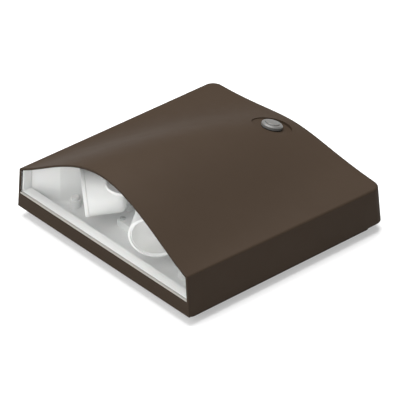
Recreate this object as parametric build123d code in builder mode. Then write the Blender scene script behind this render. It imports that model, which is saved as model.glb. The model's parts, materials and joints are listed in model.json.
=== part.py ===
from build123d import *
from math import cos, radians, sin, tan
import os

os.makedirs("parts", exist_ok=True)

# A wall pack light of the emergency kind, lying on its back as for servicing.
# +Z points out of the wall, +Y towards the top of the light as mounted, and the
# window end is at -Y. The origin is under the middle of the back, on the wall plane.
# Lengths are in millimetres and angles in degrees. "From the window end" means along
# +Y from the window face, and "above the rim" means above the cover's lower edge.

# ---------------------------------------------------------------- driving dimensions
# Front cover
cover_width = 267.0
cover_length = 266.0
cover_wall = 2.5
roof_wall = 2.6
side_draft = 4.0
far_draft = 2.5
far_corner_radius = 12.0
roof_edge_radius = 3.0
rim_height = 11.0            # the cover's lower edge, above the wall
overcut = 1.0                # how far a cutting shape runs past the faces that it cuts
spare_height = 12.0          # how far the blocks that the roof trims reach above it

# Roof, at the window end and at the far end. Insets are from the cover's sides.
hood_ridge = 104.8
hood_shoulder = 49.5
hood_foot_inset = 34.5
hood_foot_height = 59.5
hood_edge_height = 47.3
far_ridge = 52.3
far_shoulder = 34.5
far_foot_inset = 69.5
far_foot_height = 43.0
far_edge_height = 40.9
roof_edge_inset = 2.5        # where the curve turns into a straight edge
roof_overhang = 6.0          # how far the roof's shape reaches past the cover's sides

# Window
sill_height = 17.0
lens_setback = 0.5
lens_thickness = 1.4
lens_clearance = 0.4
lens_groove_depth = 1.2      # how deep the pane stands in its gasket
lens_groove_play = 0.05
gasket_height = 1.8
gasket_play = 0.2
frame_setback = 0.1          # from the cover's wall to the lens frame
frame_depth = 10.9
frame_wall = 1.5
frame_floor_height = 19.0
frame_clearance = 0.3
step_length = 4.0            # the step behind the sill that carries the lens frame
step_thickness = 3.0

# Back housing and its seals
housing_inset = 10.6
housing_wall = 2.5
housing_floor = 3.0
housing_top = 5.5            # above the rim
housing_corner_radius = 6.0
least_corner_radius = 1.0
flange_width = 6.6
flange_thickness = 2.5
seal_inset = 1.9             # from the cover's inner face
seal_width = 5.0
seal_thickness = 3.0
ledge_lap = 0.3              # how far the cover's ledge reaches past the seal
ledge_thickness = 2.5
ledge_gap_start = 13.0       # the ledge stops here for the ends of the reflector pan
ledge_gap_end = 32.0
wall_gasket_inset = 6.0
wall_gasket_width = 6.0
wall_gasket_depth = 2.0

# Hinge between the housing and the window end of the cover
hinge_from_window = 4.2
hinge_height = 0.2           # the axis above the rim
hinge_inset = 43.5           # from the cover's sides to the middle of each hinge
hinge_pin_radius = 1.25
hinge_pin_clearance = 0.05
hinge_eye_radius = 2.5
hinge_eye_width = 12.0
hinge_lug_width = 4.0
hinge_side_gap = 0.3

# Fixing to the wall
mount_inset_x = 25.5         # from the cover's sides
mount_inset_y = 38.0         # from the cover's ends
mount_hole_radius = 3.0
box_spacing = 88.9
box_hole_radius = 2.5
wire_entry_radius = 11.1

# Reflector pan. Insets are from the cover's sides.
pan_sheet = 1.5
pan_floor_height = 8.0
pan_front = 14.0
pan_floor_front = 8.9
pan_mouth_inset = 6.5
pan_knee_inset = 35.5
pan_knee_depth = 27.0
pan_back_half = 48.0
pan_back_depth = 84.0
pan_cove_radius = 5.0
pan_roof_gap = 1.2
pan_seal_gap = 0.5
pan_screw_from_knee = 15.34   # along the slanted wall
pan_screw_from_wall = 4.9    # in from the slanted wall
pan_rear_screw_inset = 6.0   # from the pan's back corners
pan_rear_screw_set_in = 10.0
pan_boss_radius = 5.4
pan_boss_height = 9.0
pan_screw_head_radius = 4.0
pan_screw_head_height = 3.5

# Lamp bracket
plinth_half = 31.6
plinth_front = 45.0
plinth_length = 33.0
plinth_height = 8.2
plinth_corner_radius = 3.0
plinth_pocket_half = 13.0
plinth_pocket_wall = 3.0
plinth_skin = 2.5
web_thickness = 6.0
web_foot_front = 54.0
web_head_front = 38.0
shelf_height = 82.0          # top of the upper shelf, above the rim
shelf_thickness = 3.5
cap_radius = 20.0
cap_depth_from_window = 30.8
cap_rim = 1.8
cap_recess = 2.0
shelf_ear_radius = 8.0
bracket_screw_x = 26.5
bracket_screw_inset = 4.8

# Lamp heads
swivel_x = 19.0
swivel_depth = 66.0
swivel_pin_radius = 2.5
swivel_clearance = 0.05
swivel_washer = 0.8
sleeve_radius = 4.5
arm_length = 9.0             # from the swivel axis to the tilt axis
tilt_height = 51.9           # tilt axis above the rim
head_aim = 37.2              # outwards from straight down the wall
head_dip = 5.7               # towards the wall
head_reach = 49.0            # from the tilt axis to the front of the ring
head_radius = 24.5
head_rim_radius = 25.2
head_rim_depth = 2.6
head_rim_bevel = 0.7
head_wall = 1.2
head_back_reach = 5.5
head_back_radius = 13.0
head_back_bend = 3.0
head_shoulder_reach = 16.5
head_post_radius = 10.0
ring_thickness = 1.5
ring_opening = 22.6
ring_edge_radius = 0.5
mirror_sheet = 1.0
mirror_gap = 0.2
mirror_throat_reach = 18.6
mirror_throat_radius = 6.0
mirror_flare_radius = 16.0
mirror_flare_rise = 2.0
mirror_belly_reach = 32.0
led_board_radius = 14.0
led_board_thickness = 1.6
led_radius = 4.0
led_collar = 0.8
led_dome_rise = 3.2
led_dome_fullness = 0.6      # share of the rise and of the radius
bridge_gap = 1.2             # from the yoke's bridge to the head's knuckle
knuckle_radius = 3.8
knuckle_half = 2.7
ear_gap = 0.5
ear_thickness = 2.0
tilt_pin_radius = 1.5
tilt_pin_clearance = 0.05
tilt_head_radius = 2.8
tilt_head_height = 1.6

# Test button
recess_radius = 21.5
recess_depth = 3.0
recess_from_far = 37.0
recess_tilt = 18.8
recess_floor = 2.5
recess_reach = 20.0          # longer than the roof or the room under it is deep there
bezel_radius = 11.25
bezel_height = 4.2
bezel_bevel = 1.4
bezel_neck_radius = 8.6
bezel_neck_length = 7.5
bezel_floor = 1.5
bezel_hole_clearance = 0.15
button_radius = 7.25
button_edge_radius = 0.8
button_clearance = 0.25
button_proud = 0.9
button_cap_thickness = 3.0
button_stem_radius = 3.0
button_foot_gap = 0.3
button_foot_radius = 4.2
button_foot_thickness = 1.2
button_travel = 1.0
seal_ring_thickness = 0.8
seal_ring_inset = 0.4
nut_thickness = 3.0
nut_radius = 12.0
spring_radius = 4.9
spring_wire = 0.6
spring_turns = 4.5
spring_seat_gap = 0.1
switch_gap = 0.2             # left between stem and plunger at full travel
switch_size = 6.0
switch_height = 3.5
plunger_radius = 1.5
plunger_height = 0.5
board_thickness = 1.6
switch_board_width = 46.0
switch_board_length = 20.0
switch_post_radius = 3.0
switch_post_x = 18.5
status_led_radius = 1.5
status_led_height = 3.0
status_led_dome = 1.2

# Cover screws
cover_screw_x = 70.0
cover_screw_height = 18.0
cover_boss_radius = 6.5
cover_boss_lean = 6.0        # the bosses' ends and the ears lean, so that the cover swings clear
cover_screw_radius = 2.0
cover_screw_head_radius = 4.2
cover_screw_head_height = 3.0
cover_screw_sink = 4.0
cover_screw_end = 2.0        # how far the screws reach past their nuts
cover_socket_radius = 2.0
cover_socket_depth = 1.8
cover_hole_clearance = 0.2
screw_ear_thickness = 2.5
screw_ear_half = 9.0
screw_ear_rise = 6.0
screw_ear_setback = 2.0
nut_side = 8.0
nut_gap = 0.2
square_nut_thickness = 3.0

# Battery
cell_radius = 13.0
cell_length = 49.0
cell_gap = 0.6
cell_row_gap = 0.5
battery_side_gap = 0.75      # from the clamps' feet to the housing's side wall
battery_from_far = 45.4
cell_nub_radius = 4.0
cell_nub_height = 1.5
wrap_thickness = 0.4
clamp_thickness = 1.2
clamp_width = 14.0
clamp_foot = 8.0
clamp_gap = 0.3
clamp_bend_radius = 9.0
clamp_post_height = 5.0
clamp_post_radius = 3.5

# Charger board and what stands on it
charger_side_gap = 7.4       # from the board to the housing's side wall
charger_front = 96.0
charger_width = 58.0
charger_length = 118.0
charger_post_height = 7.0
charger_post_radius = 3.5
charger_post_inset = 5.0
board_corner_radius = 2.0
board_hole_clearance = 0.2
board_screw_head_radius = 2.8
board_screw_head_height = 1.8
relay_size = (19.0, 16.0, 15.0)
relay_place = (14.0, -38.0)      # places on the board are from its middle
sink_size = (26.0, 20.0, 16.0)
sink_place = (-10.0, 34.0)
sink_fins = 5
sink_fin = 1.6
sink_base = 3.0
capacitor_count = 3
capacitor_radius = 6.5
capacitor_height = 20.0
capacitor_pitch = 16.0
capacitor_place = (14.0, 0.0)
fuse_radius = 2.6
fuse_length = 20.0
fuse_place = (-16.0, -34.0)
fuse_lift = 2.0              # from the board to the underside of the fuse
clip_wall = 1.0
clip_length = 5.0
clip_inset = 3.0
clip_height = 6.0

# Transformer and terminals, on the housing floor
transformer_from_far = 90.0
core_width = 48.0
core_length = 24.0
core_height = 38.0
core_leg = 9.0
coil_length = 42.0
core_foot = 9.0
core_foot_thickness = 2.0
coil_clearance = 0.3
coil_corner_radius = 3.0
terminal_from_far = 44.0
terminal_ways = 4
terminal_pitch = 10.0
terminal_depth = 16.0
terminal_block_height = 15.0
terminal_tab = 8.0
terminal_tab_thickness = 3.0
terminal_well_radius = 3.0
terminal_well_depth = 4.0
terminal_screw_radius = 2.6
terminal_screw_height = 2.5
terminal_mouth = (5.0, 4.0)
terminal_mouth_height = 5.0
seat_post_height = 4.0
ground_from_window = 104.0
ground_head_radius = 4.5
ground_head_height = 2.5

# Small screws
edge_radius = 1.0
through_hole_clearance = 0.3
screw_radius = 1.5
screw_head_radius = 3.2
screw_head_height = 2.0
screw_bite = 5.0
clamp_screw_bite = 4.0
post_radius = 4.0
slot_width = 0.8
slot_depth = 0.7

# ---------------------------------------------------------------- places worked out
window_face = -cover_length / 2
rim = rim_height
cover_half = cover_width / 2
far_face = window_face + cover_length
side_wall_inner = cover_half - housing_inset - housing_wall
floor_top = housing_floor
flange_top = rim + housing_top
flange_under = flange_top - flange_thickness
seal_top = flange_top + seal_thickness
seal_edge = cover_wall + seal_inset
ledge_inset = seal_edge + seal_width + ledge_lap
pan_floor = rim + pan_floor_height
pan_under = pan_floor - pan_sheet
plinth_top = pan_floor + plinth_height
shelf_top = rim + shelf_height
shelf_under = shelf_top - shelf_thickness
block_top = hood_ridge + spare_height
roof_edge_reach = cover_half - roof_edge_inset
hood_foot = cover_half - hood_foot_inset
far_foot = cover_half - far_foot_inset
pan_mouth_half = cover_half - pan_mouth_inset
pan_knee_half = cover_half - pan_knee_inset


def along(distance):
    """Y of a place at this distance from the window end."""
    return window_face + distance


def mix(start, end, share):
    return start + (end - start) * share


def save(builder, name):
    """Label the piece and write its STEP file."""
    builder.part.label = name
    export_step(builder.part, f"parts/{name}.step")


# ---------------------------------------------------------------- cover shapes
def ridge_height(share):
    """Height of the roof's ridge above the rim, share of the way to the far end."""
    return mix(hood_ridge, far_ridge, share**2)


def roof(drop):
    """Everything under the roof surface lowered by drop, wider and longer than the cover."""
    reach = cover_half + roof_overhang
    under = -rim
    with BuildPart() as body:
        for share in (-0.02, 0.25, 0.5, 0.75, 1.02):
            top = rim + ridge_height(share) - drop
            shoulder = mix(hood_shoulder, far_shoulder, share)
            foot = mix(hood_foot, far_foot, share)
            foot_z = rim + mix(hood_foot_height, far_foot_height, share) - drop
            edge_z = rim + mix(hood_edge_height, far_edge_height, share) - drop
            slope = (foot_z - edge_z) / (roof_edge_reach - foot)
            end_z = edge_z - slope * (reach - roof_edge_reach)
            with BuildSketch(Plane.XZ.offset(-along(share * cover_length))):
                with BuildLine():
                    Bezier((0, top), (shoulder, top), (foot, foot_z), (roof_edge_reach, edge_z))
                    Line((roof_edge_reach, edge_z), (reach, end_z))
                    Line((reach, end_z), (reach, under))
                    Line((reach, under), (-reach, under))
                    Line((-reach, under), (-reach, end_z))
                    Line((-reach, end_z), (-roof_edge_reach, edge_z))
                    Bezier((-roof_edge_reach, edge_z), (-foot, foot_z), (-shoulder, top), (0, top))
                make_face()
        loft()
    return body.part


def drafted_block(inset, bottom, front, back=None, top=block_top):
    """Block with the cover's leaning sides, moved in by inset.

    bottom and top are above the rim, front and back are from the window end, and
    without back the block ends inset from the far face."""
    with BuildPart() as block:
        for height in (bottom, top):
            half = cover_half - inset - height * tan(radians(side_draft))
            far = cover_length - inset - height * tan(radians(far_draft))
            end = far if back is None else back
            with BuildSketch(Plane.XY.offset(rim + height)):
                with Locations((0, along((front + end) / 2))):
                    Rectangle(2 * half, end - front)
        loft(ruled=True)
        if back is None:
            uprights = block.edges().filter_by(lambda e: abs(e.tangent_at(0.5).Z) > 0.5)
            fillet(uprights.sort_by(Axis.Y)[-2:], far_corner_radius - inset)
    return block.part


def ring(outer_inset, width, bottom, thickness, radius):
    """Flat ring that follows the cover's outline, inset from it. Bottom is a real height."""
    with BuildPart() as body:
        with BuildSketch(Plane.XY.offset(bottom)):
            RectangleRounded(cover_width - 2 * outer_inset, cover_length - 2 * outer_inset, radius)
            inner = outer_inset + width
            RectangleRounded(
                cover_width - 2 * inner,
                cover_length - 2 * inner,
                max(radius - width, least_corner_radius),
                mode=Mode.SUBTRACT,
            )
        extrude(amount=thickness)
    return body.part


# Recess for the test button: its floor plane, with Z along the button's axis
recess_from_window = cover_length - recess_from_far
recess_surface = rim + ridge_height(recess_from_window / cover_length)
recess_axis = (0, sin(radians(recess_tilt)), cos(radians(recess_tilt)))
recess_origin = (
    0,
    along(recess_from_window) - recess_depth * recess_axis[1],
    recess_surface - recess_depth * recess_axis[2],
)
button_plane = Plane(origin=recess_origin, x_dir=(1, 0, 0), z_dir=recess_axis)
pad_under = -recess_floor
bezel_base = seal_ring_thickness
neck_end = -bezel_neck_length
button_top = bezel_base + bezel_height + button_proud
stem_end = neck_end - button_foot_gap - button_foot_thickness
plunger_top = stem_end - button_travel - switch_gap
switch_top = plunger_top - plunger_height
switch_board_top = switch_top - switch_height
switch_post_reach = recess_reach - switch_board_top

# Cover screws: the plane where their bosses meet the housing's ears leans back
ear_far = along(cover_length - housing_inset - housing_wall - screw_ear_setback)
ear_near = ear_far - screw_ear_thickness
screw_line = rim + cover_screw_height
cover_screw_places = [(side * cover_screw_x, screw_line) for side in (-1, 1)]
boss_lean = radians(cover_boss_lean)
boss_plane = Plane(
    origin=(0, ear_far, screw_line), x_dir=(1, 0, 0), z_dir=(0, cos(boss_lean), sin(boss_lean))
)

# Hinge: two pins in lugs of the housing, each through an eye of the cover
hinge_y = along(hinge_from_window)
hinge_z = rim + hinge_height
hinge_middles = [side * (cover_half - hinge_inset) for side in (-1, 1)]
hinge_pin_length = hinge_eye_width + 2 * (hinge_side_gap + hinge_lug_width)
hinge_room = hinge_pin_length + 2 * hinge_side_gap
eye_root = cover_wall / 2
eye_arm = hinge_from_window - eye_root
eye_rise = hinge_height + hinge_eye_radius


def cross_plane(x):
    """Plane square to the hinge's axis, with X along the cover and Y up."""
    return Plane.YZ.offset(x)


# ---------------------------------------------------------------- front cover
with BuildPart() as screw_bosses:
    with BuildSketch(Plane.XZ.offset(-ear_near)):
        with Locations(*cover_screw_places):
            Circle(cover_boss_radius)
    extrude(amount=-(far_face - ear_near))
    split(bisect_by=boss_plane, keep=Keep.TOP)

with BuildPart() as cavity:
    add(drafted_block(cover_wall, -overcut, cover_wall))
    add(roof(roof_wall), mode=Mode.INTERSECT)
    # pad that carries the button recess
    with BuildSketch(button_plane.offset(pad_under)):
        Circle(recess_radius + cover_wall)
    extrude(amount=recess_reach, mode=Mode.SUBTRACT)
    # posts for the switch board
    with BuildSketch(button_plane.offset(switch_board_top)):
        with Locations((-switch_post_x, 0), (switch_post_x, 0)):
            Circle(switch_post_radius)
    extrude(amount=switch_post_reach, mode=Mode.SUBTRACT)
    add(screw_bosses.part, mode=Mode.SUBTRACT)
    # ledge that lies on the seal, open beside the ends of the reflector pan
    with BuildSketch(Plane.XY.offset(seal_top)):
        Rectangle(cover_width, cover_length)
        Rectangle(
            cover_width - 2 * ledge_inset, cover_length - 2 * ledge_inset, mode=Mode.SUBTRACT
        )
        gap_middle = (ledge_gap_start + ledge_gap_end) / 2
        with Locations((0, along(gap_middle))):
            Rectangle(cover_width, ledge_gap_end - ledge_gap_start, mode=Mode.SUBTRACT)
    extrude(amount=ledge_thickness, mode=Mode.SUBTRACT)
    # step behind the sill that carries the lens frame
    step_top = rim + frame_floor_height - frame_wall
    with BuildSketch(Plane.XY.offset(step_top)):
        with Locations((0, along(cover_wall + step_length / 2))):
            Rectangle(cover_width, step_length)
    extrude(amount=-step_thickness, mode=Mode.SUBTRACT)

with BuildPart() as window:
    add(drafted_block(cover_wall, sill_height, -overcut, cover_wall + overcut))
    add(roof(roof_wall), mode=Mode.INTERSECT)

with BuildPart() as front_cover:
    add(drafted_block(0.0, 0.0, 0.0))
    add(roof(0.0), mode=Mode.INTERSECT)
    # the long roof edges are softly rounded
    long_edges = front_cover.edges().filter_by(lambda e: e.length > cover_length / 2)
    roof_edges = long_edges.filter_by(
        lambda e: e.center().Z > rim + far_edge_height / 2 and abs(e.center().X) > cover_half / 2
    )
    fillet(roof_edges, roof_edge_radius)
    add(cavity.part, mode=Mode.SUBTRACT)
    add(window.part, mode=Mode.SUBTRACT)
    # the hinge's eyes, on the wall under the window, with room beside them for the lugs
    for middle in hinge_middles:
        with BuildSketch(cross_plane(middle - hinge_room / 2)):
            with Locations((hinge_y, hinge_z)):
                Circle(hinge_eye_radius + hinge_side_gap)
        extrude(amount=hinge_room, mode=Mode.SUBTRACT)
        with BuildSketch(cross_plane(middle - hinge_eye_width / 2)):
            with Locations((hinge_y, hinge_z)):
                Circle(hinge_eye_radius)
            with Locations((along(eye_root + eye_arm / 2), rim + eye_rise / 2)):
                Rectangle(eye_arm, eye_rise)
            with Locations((hinge_y, hinge_z)):
                Circle(hinge_pin_radius + hinge_pin_clearance, mode=Mode.SUBTRACT)
        extrude(amount=hinge_eye_width)
    # button recess and the hole for the bezel's neck
    with BuildSketch(button_plane):
        Circle(recess_radius)
    extrude(amount=recess_reach, mode=Mode.SUBTRACT)
    with BuildSketch(button_plane.offset(pad_under)):
        Circle(bezel_neck_radius + bezel_hole_clearance)
    extrude(amount=recess_floor, mode=Mode.SUBTRACT)
    # screw holes in the switch board posts
    with BuildSketch(button_plane.offset(switch_board_top)):
        with Locations((-switch_post_x, 0), (switch_post_x, 0)):
            Circle(screw_radius)
    extrude(amount=screw_bite, mode=Mode.SUBTRACT)
    # stepped holes for the cover screws
    with BuildSketch(Plane.XZ.offset(-far_face)):
        with Locations(*cover_screw_places):
            Circle(cover_screw_radius + cover_hole_clearance)
    extrude(amount=far_face - ear_near, mode=Mode.SUBTRACT)
    with BuildSketch(Plane.XZ.offset(-far_face)):
        with Locations(*cover_screw_places):
            Circle(cover_screw_head_radius + cover_hole_clearance)
    extrude(amount=cover_screw_sink + cover_screw_head_height, mode=Mode.SUBTRACT)
save(front_cover, "front_cover")

# ---------------------------------------------------------------- window
sill_top = rim + sill_height
lens_front = lens_setback
lens_back = lens_setback + lens_thickness

gasket_top = sill_height + gasket_height
groove_floor = gasket_top - lens_groove_depth

with BuildPart() as lens_gasket:
    gasket_inset = cover_wall + gasket_play
    add(drafted_block(gasket_inset, sill_height, gasket_play, cover_wall, gasket_top))
    groove = drafted_block(
        gasket_inset, groove_floor, lens_front - lens_groove_play, lens_back + lens_groove_play
    )
    add(groove, mode=Mode.SUBTRACT)
save(lens_gasket, "lens_gasket")

with BuildPart() as window_lens:
    add(drafted_block(cover_wall + lens_clearance, groove_floor, lens_front, lens_back))
    add(roof(roof_wall + lens_clearance), mode=Mode.INTERSECT)
save(window_lens, "window_lens")

with BuildPart() as lens_frame:
    frame_inset = cover_wall + frame_clearance
    frame_front = cover_wall + frame_setback
    frame_back = frame_front + frame_depth
    frame_bottom = frame_floor_height - frame_wall
    add(drafted_block(frame_inset, frame_bottom, frame_front, frame_back))
    add(roof(roof_wall + frame_clearance), mode=Mode.INTERSECT)
    opening = drafted_block(
        frame_inset + frame_wall, frame_floor_height, frame_front - overcut, frame_back + overcut
    )
    add(opening, mode=Mode.SUBTRACT)
save(lens_frame, "lens_frame")


# ---------------------------------------------------------------- back housing
def housing_outline(inset, mode=Mode.ADD):
    """Rounded rectangle inset from the cover's outline."""
    radius = max(housing_corner_radius - (inset - housing_inset), least_corner_radius)
    RectangleRounded(cover_width - 2 * inset, cover_length - 2 * inset, radius, mode=mode)


gasket_outer = housing_inset + wall_gasket_inset
gasket_inner = gasket_outer + wall_gasket_width
mount_places = GridLocations(cover_width - 2 * mount_inset_x, cover_length - 2 * mount_inset_y, 2, 2)
pan_knee = Vector(pan_knee_half, along(pan_knee_depth))
pan_slant = (Vector(pan_back_half, along(pan_back_depth)) - pan_knee).normalized()
pan_inwards = Vector(-pan_slant.Y, pan_slant.X)
pan_screw_spot = pan_knee + pan_slant * pan_screw_from_knee + pan_inwards * pan_screw_from_wall
pan_screw_x = pan_screw_spot.X
pan_screw_y = pan_screw_spot.Y
pan_rear_screw_x = pan_back_half - pan_rear_screw_inset
pan_rear_screw_y = along(pan_back_depth - pan_rear_screw_set_in)
pan_screw_places = [
    (-pan_screw_x, pan_screw_y),
    (pan_screw_x, pan_screw_y),
    (-pan_rear_screw_x, pan_rear_screw_y),
    (pan_rear_screw_x, pan_rear_screw_y),
]
plinth_near = along(plinth_front)
plinth_far = along(plinth_front + plinth_length)
bracket_screw_places = [
    (side * bracket_screw_x, y)
    for side in (-1, 1)
    for y in (plinth_near + bracket_screw_inset, plinth_far - bracket_screw_inset)
]
# Battery: two rows of two cells
row_offset = cell_radius + cell_row_gap / 2
pack_half = 2 * cell_radius + cell_row_gap / 2 + wrap_thickness
pack_length = 2 * cell_length + cell_gap
battery_front = cover_length - battery_from_far - pack_length
clamp_rows = [along(battery_front + share * pack_length) for share in (0.25, 0.75)]
clamp_leg = pack_half + clamp_gap
clamp_half = clamp_leg + clamp_thickness + clamp_foot
clamp_screw_x = clamp_half - clamp_foot / 2
battery_x = clamp_half + battery_side_gap - side_wall_inner
clamp_screw_places = [
    (battery_x + side * clamp_screw_x, y) for side in (-1, 1) for y in clamp_rows
]
# Charger board
charger_x = side_wall_inner - charger_side_gap - charger_width / 2
charger_middle = along(charger_front + charger_length / 2)
charger_places = [
    (charger_x + side * (charger_width / 2 - charger_post_inset), charger_middle + end)
    for side in (-1, 1)
    for end in (
        charger_post_inset - charger_length / 2,
        charger_length / 2 - charger_post_inset,
    )
]
charger_under = floor_top + charger_post_height
charger_top = charger_under + board_thickness
# Transformer feet and the terminal block
transformer_y = along(cover_length - transformer_from_far)
foot_x = core_width / 2 + core_foot / 2
foot_places = [(-foot_x, transformer_y), (foot_x, transformer_y)]
terminal_y = along(cover_length - terminal_from_far)
terminal_half = terminal_ways * terminal_pitch / 2
terminal_screw_x = terminal_half + terminal_tab / 2
terminal_screw_places = [(-terminal_screw_x, terminal_y), (terminal_screw_x, terminal_y)]
ground_place = (0, along(ground_from_window))
seat_places = [*foot_places, *terminal_screw_places, ground_place]
seat_level = floor_top + seat_post_height
foot_level = floor_top + clamp_post_height
post_root = floor_top - overcut

# Ears for the cover screws: plates that lean on one side, each with a slot open to the top
with BuildPart() as screw_ears:
    ear_top = screw_line + screw_ear_rise
    ear_depth = screw_ear_thickness + screw_ear_setback + housing_wall / 2
    with BuildSketch(Plane.XZ.offset(-ear_near)):
        with Locations(*[(x, (post_root + ear_top) / 2) for x, z in cover_screw_places]):
            Rectangle(2 * screw_ear_half, ear_top - post_root)
    extrude(amount=-ear_depth)
    split(bisect_by=boss_plane, keep=Keep.BOTTOM)
    with BuildSketch(Plane.XZ.offset(-ear_near)):
        slot_half = cover_screw_radius + cover_hole_clearance
        with Locations(*cover_screw_places):
            Circle(slot_half)
        with Locations(*[(x, z + screw_ear_rise) for x, z in cover_screw_places]):
            Rectangle(2 * slot_half, 2 * screw_ear_rise)
    extrude(amount=-ear_depth, mode=Mode.SUBTRACT)

with BuildPart() as rear_housing:
    with BuildSketch():
        housing_outline(housing_inset)
    extrude(amount=flange_top)
    with BuildSketch(Plane.XY.offset(flange_under)):
        housing_outline(housing_inset - flange_width)
    extrude(amount=flange_thickness)
    with BuildSketch(Plane.XY.offset(floor_top)):
        housing_outline(housing_inset + housing_wall)
    extrude(amount=flange_top, mode=Mode.SUBTRACT)
    # posts under the reflector pan, and under the bracket's plinth
    with BuildSketch(Plane.XY.offset(post_root)):
        with Locations(*pan_screw_places, *bracket_screw_places):
            Circle(post_radius)
    extrude(amount=pan_under - post_root)
    # posts for the battery clamps, the charger board, the transformer and the terminals
    with BuildSketch(Plane.XY.offset(post_root)):
        with Locations(*clamp_screw_places):
            Circle(clamp_post_radius)
    extrude(amount=foot_level - post_root)
    with BuildSketch(Plane.XY.offset(post_root)):
        with Locations(*charger_places):
            Circle(charger_post_radius)
    extrude(amount=charger_under - post_root)
    with BuildSketch(Plane.XY.offset(post_root)):
        with Locations(*seat_places):
            Circle(post_radius)
    extrude(amount=seat_level - post_root)
    add(screw_ears.part)
    # the hinge's lugs, under the flange
    lug_root = housing_inset + housing_wall / 2
    lug_arm = lug_root - hinge_from_window
    lug_rise = flange_under + overcut - (hinge_z - hinge_eye_radius)
    for middle in hinge_middles:
        for lug_start in (-hinge_pin_length / 2, hinge_pin_length / 2 - hinge_lug_width):
            with BuildSketch(cross_plane(middle + lug_start)):
                with Locations((hinge_y, hinge_z)):
                    Circle(hinge_eye_radius)
                lug_middle = hinge_z - hinge_eye_radius + lug_rise / 2
                with Locations((along(lug_root - lug_arm / 2), lug_middle)):
                    Rectangle(lug_arm, lug_rise)
                with Locations((hinge_y, hinge_z)):
                    Circle(hinge_pin_radius, mode=Mode.SUBTRACT)
            extrude(amount=hinge_lug_width)
    # holes through the floor: wall fixings, junction box fixings and the wire entry
    with BuildSketch():
        with mount_places:
            Circle(mount_hole_radius)
        with GridLocations(box_spacing, 1, 2, 1):
            Circle(box_hole_radius)
        Circle(wire_entry_radius)
    extrude(amount=floor_top, mode=Mode.SUBTRACT)
    # groove for the wall gasket
    with BuildSketch():
        housing_outline(gasket_outer)
        housing_outline(gasket_inner, Mode.SUBTRACT)
    extrude(amount=wall_gasket_depth, mode=Mode.SUBTRACT)
    # screw holes in the posts
    with BuildSketch(Plane.XY.offset(seat_level)):
        with Locations(*seat_places):
            Circle(screw_radius)
    extrude(amount=-seat_post_height, mode=Mode.SUBTRACT)
    with BuildSketch(Plane.XY.offset(pan_under)):
        with Locations(*pan_screw_places, *bracket_screw_places):
            Circle(screw_radius)
    extrude(amount=-(pan_under - floor_top), mode=Mode.SUBTRACT)
    with BuildSketch(Plane.XY.offset(charger_under)):
        with Locations(*charger_places):
            Circle(screw_radius)
    extrude(amount=-screw_bite, mode=Mode.SUBTRACT)
    with BuildSketch(Plane.XY.offset(foot_level)):
        with Locations(*clamp_screw_places):
            Circle(screw_radius)
    extrude(amount=-clamp_screw_bite, mode=Mode.SUBTRACT)
save(rear_housing, "rear_housing")

with BuildPart() as hinge_pins:
    for middle in hinge_middles:
        with BuildSketch(cross_plane(middle - hinge_pin_length / 2)):
            with Locations((hinge_y, hinge_z)):
                Circle(hinge_pin_radius)
        extrude(amount=hinge_pin_length)
save(hinge_pins, "hinge_pins")

with BuildPart() as wall_gasket:
    with BuildSketch():
        housing_outline(gasket_outer)
        housing_outline(gasket_inner, Mode.SUBTRACT)
    extrude(amount=wall_gasket_depth)
save(wall_gasket, "wall_gasket")

with BuildPart() as cover_gasket:
    add(ring(seal_edge, seal_width, flange_top, seal_thickness, housing_corner_radius))
save(cover_gasket, "cover_gasket")


# ---------------------------------------------------------------- screws
def screws(plane, places, length, head_radius=screw_head_radius, head_height=screw_head_height):
    """Slotted screws whose heads stand on the plane, shanks reaching length below it."""
    with BuildPart() as group:
        with BuildSketch(plane.offset(-length)):
            with Locations(*places):
                Circle(screw_radius)
        extrude(amount=length)
        with BuildSketch(plane):
            with Locations(*places):
                Circle(head_radius)
        extrude(amount=head_height)
        with BuildSketch(plane.offset(head_height)):
            with Locations(*places):
                Rectangle(2 * (head_radius + overcut), slot_width)
        extrude(amount=-slot_depth, mode=Mode.SUBTRACT)
    return group


# ---------------------------------------------------------------- reflector pan
pan_corners = [
    (-pan_mouth_half, along(pan_front)),
    (-pan_knee_half, along(pan_knee_depth)),
    (-pan_back_half, along(pan_back_depth)),
    (pan_back_half, along(pan_back_depth)),
    (pan_knee_half, along(pan_knee_depth)),
    (pan_mouth_half, along(pan_front)),
]

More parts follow.
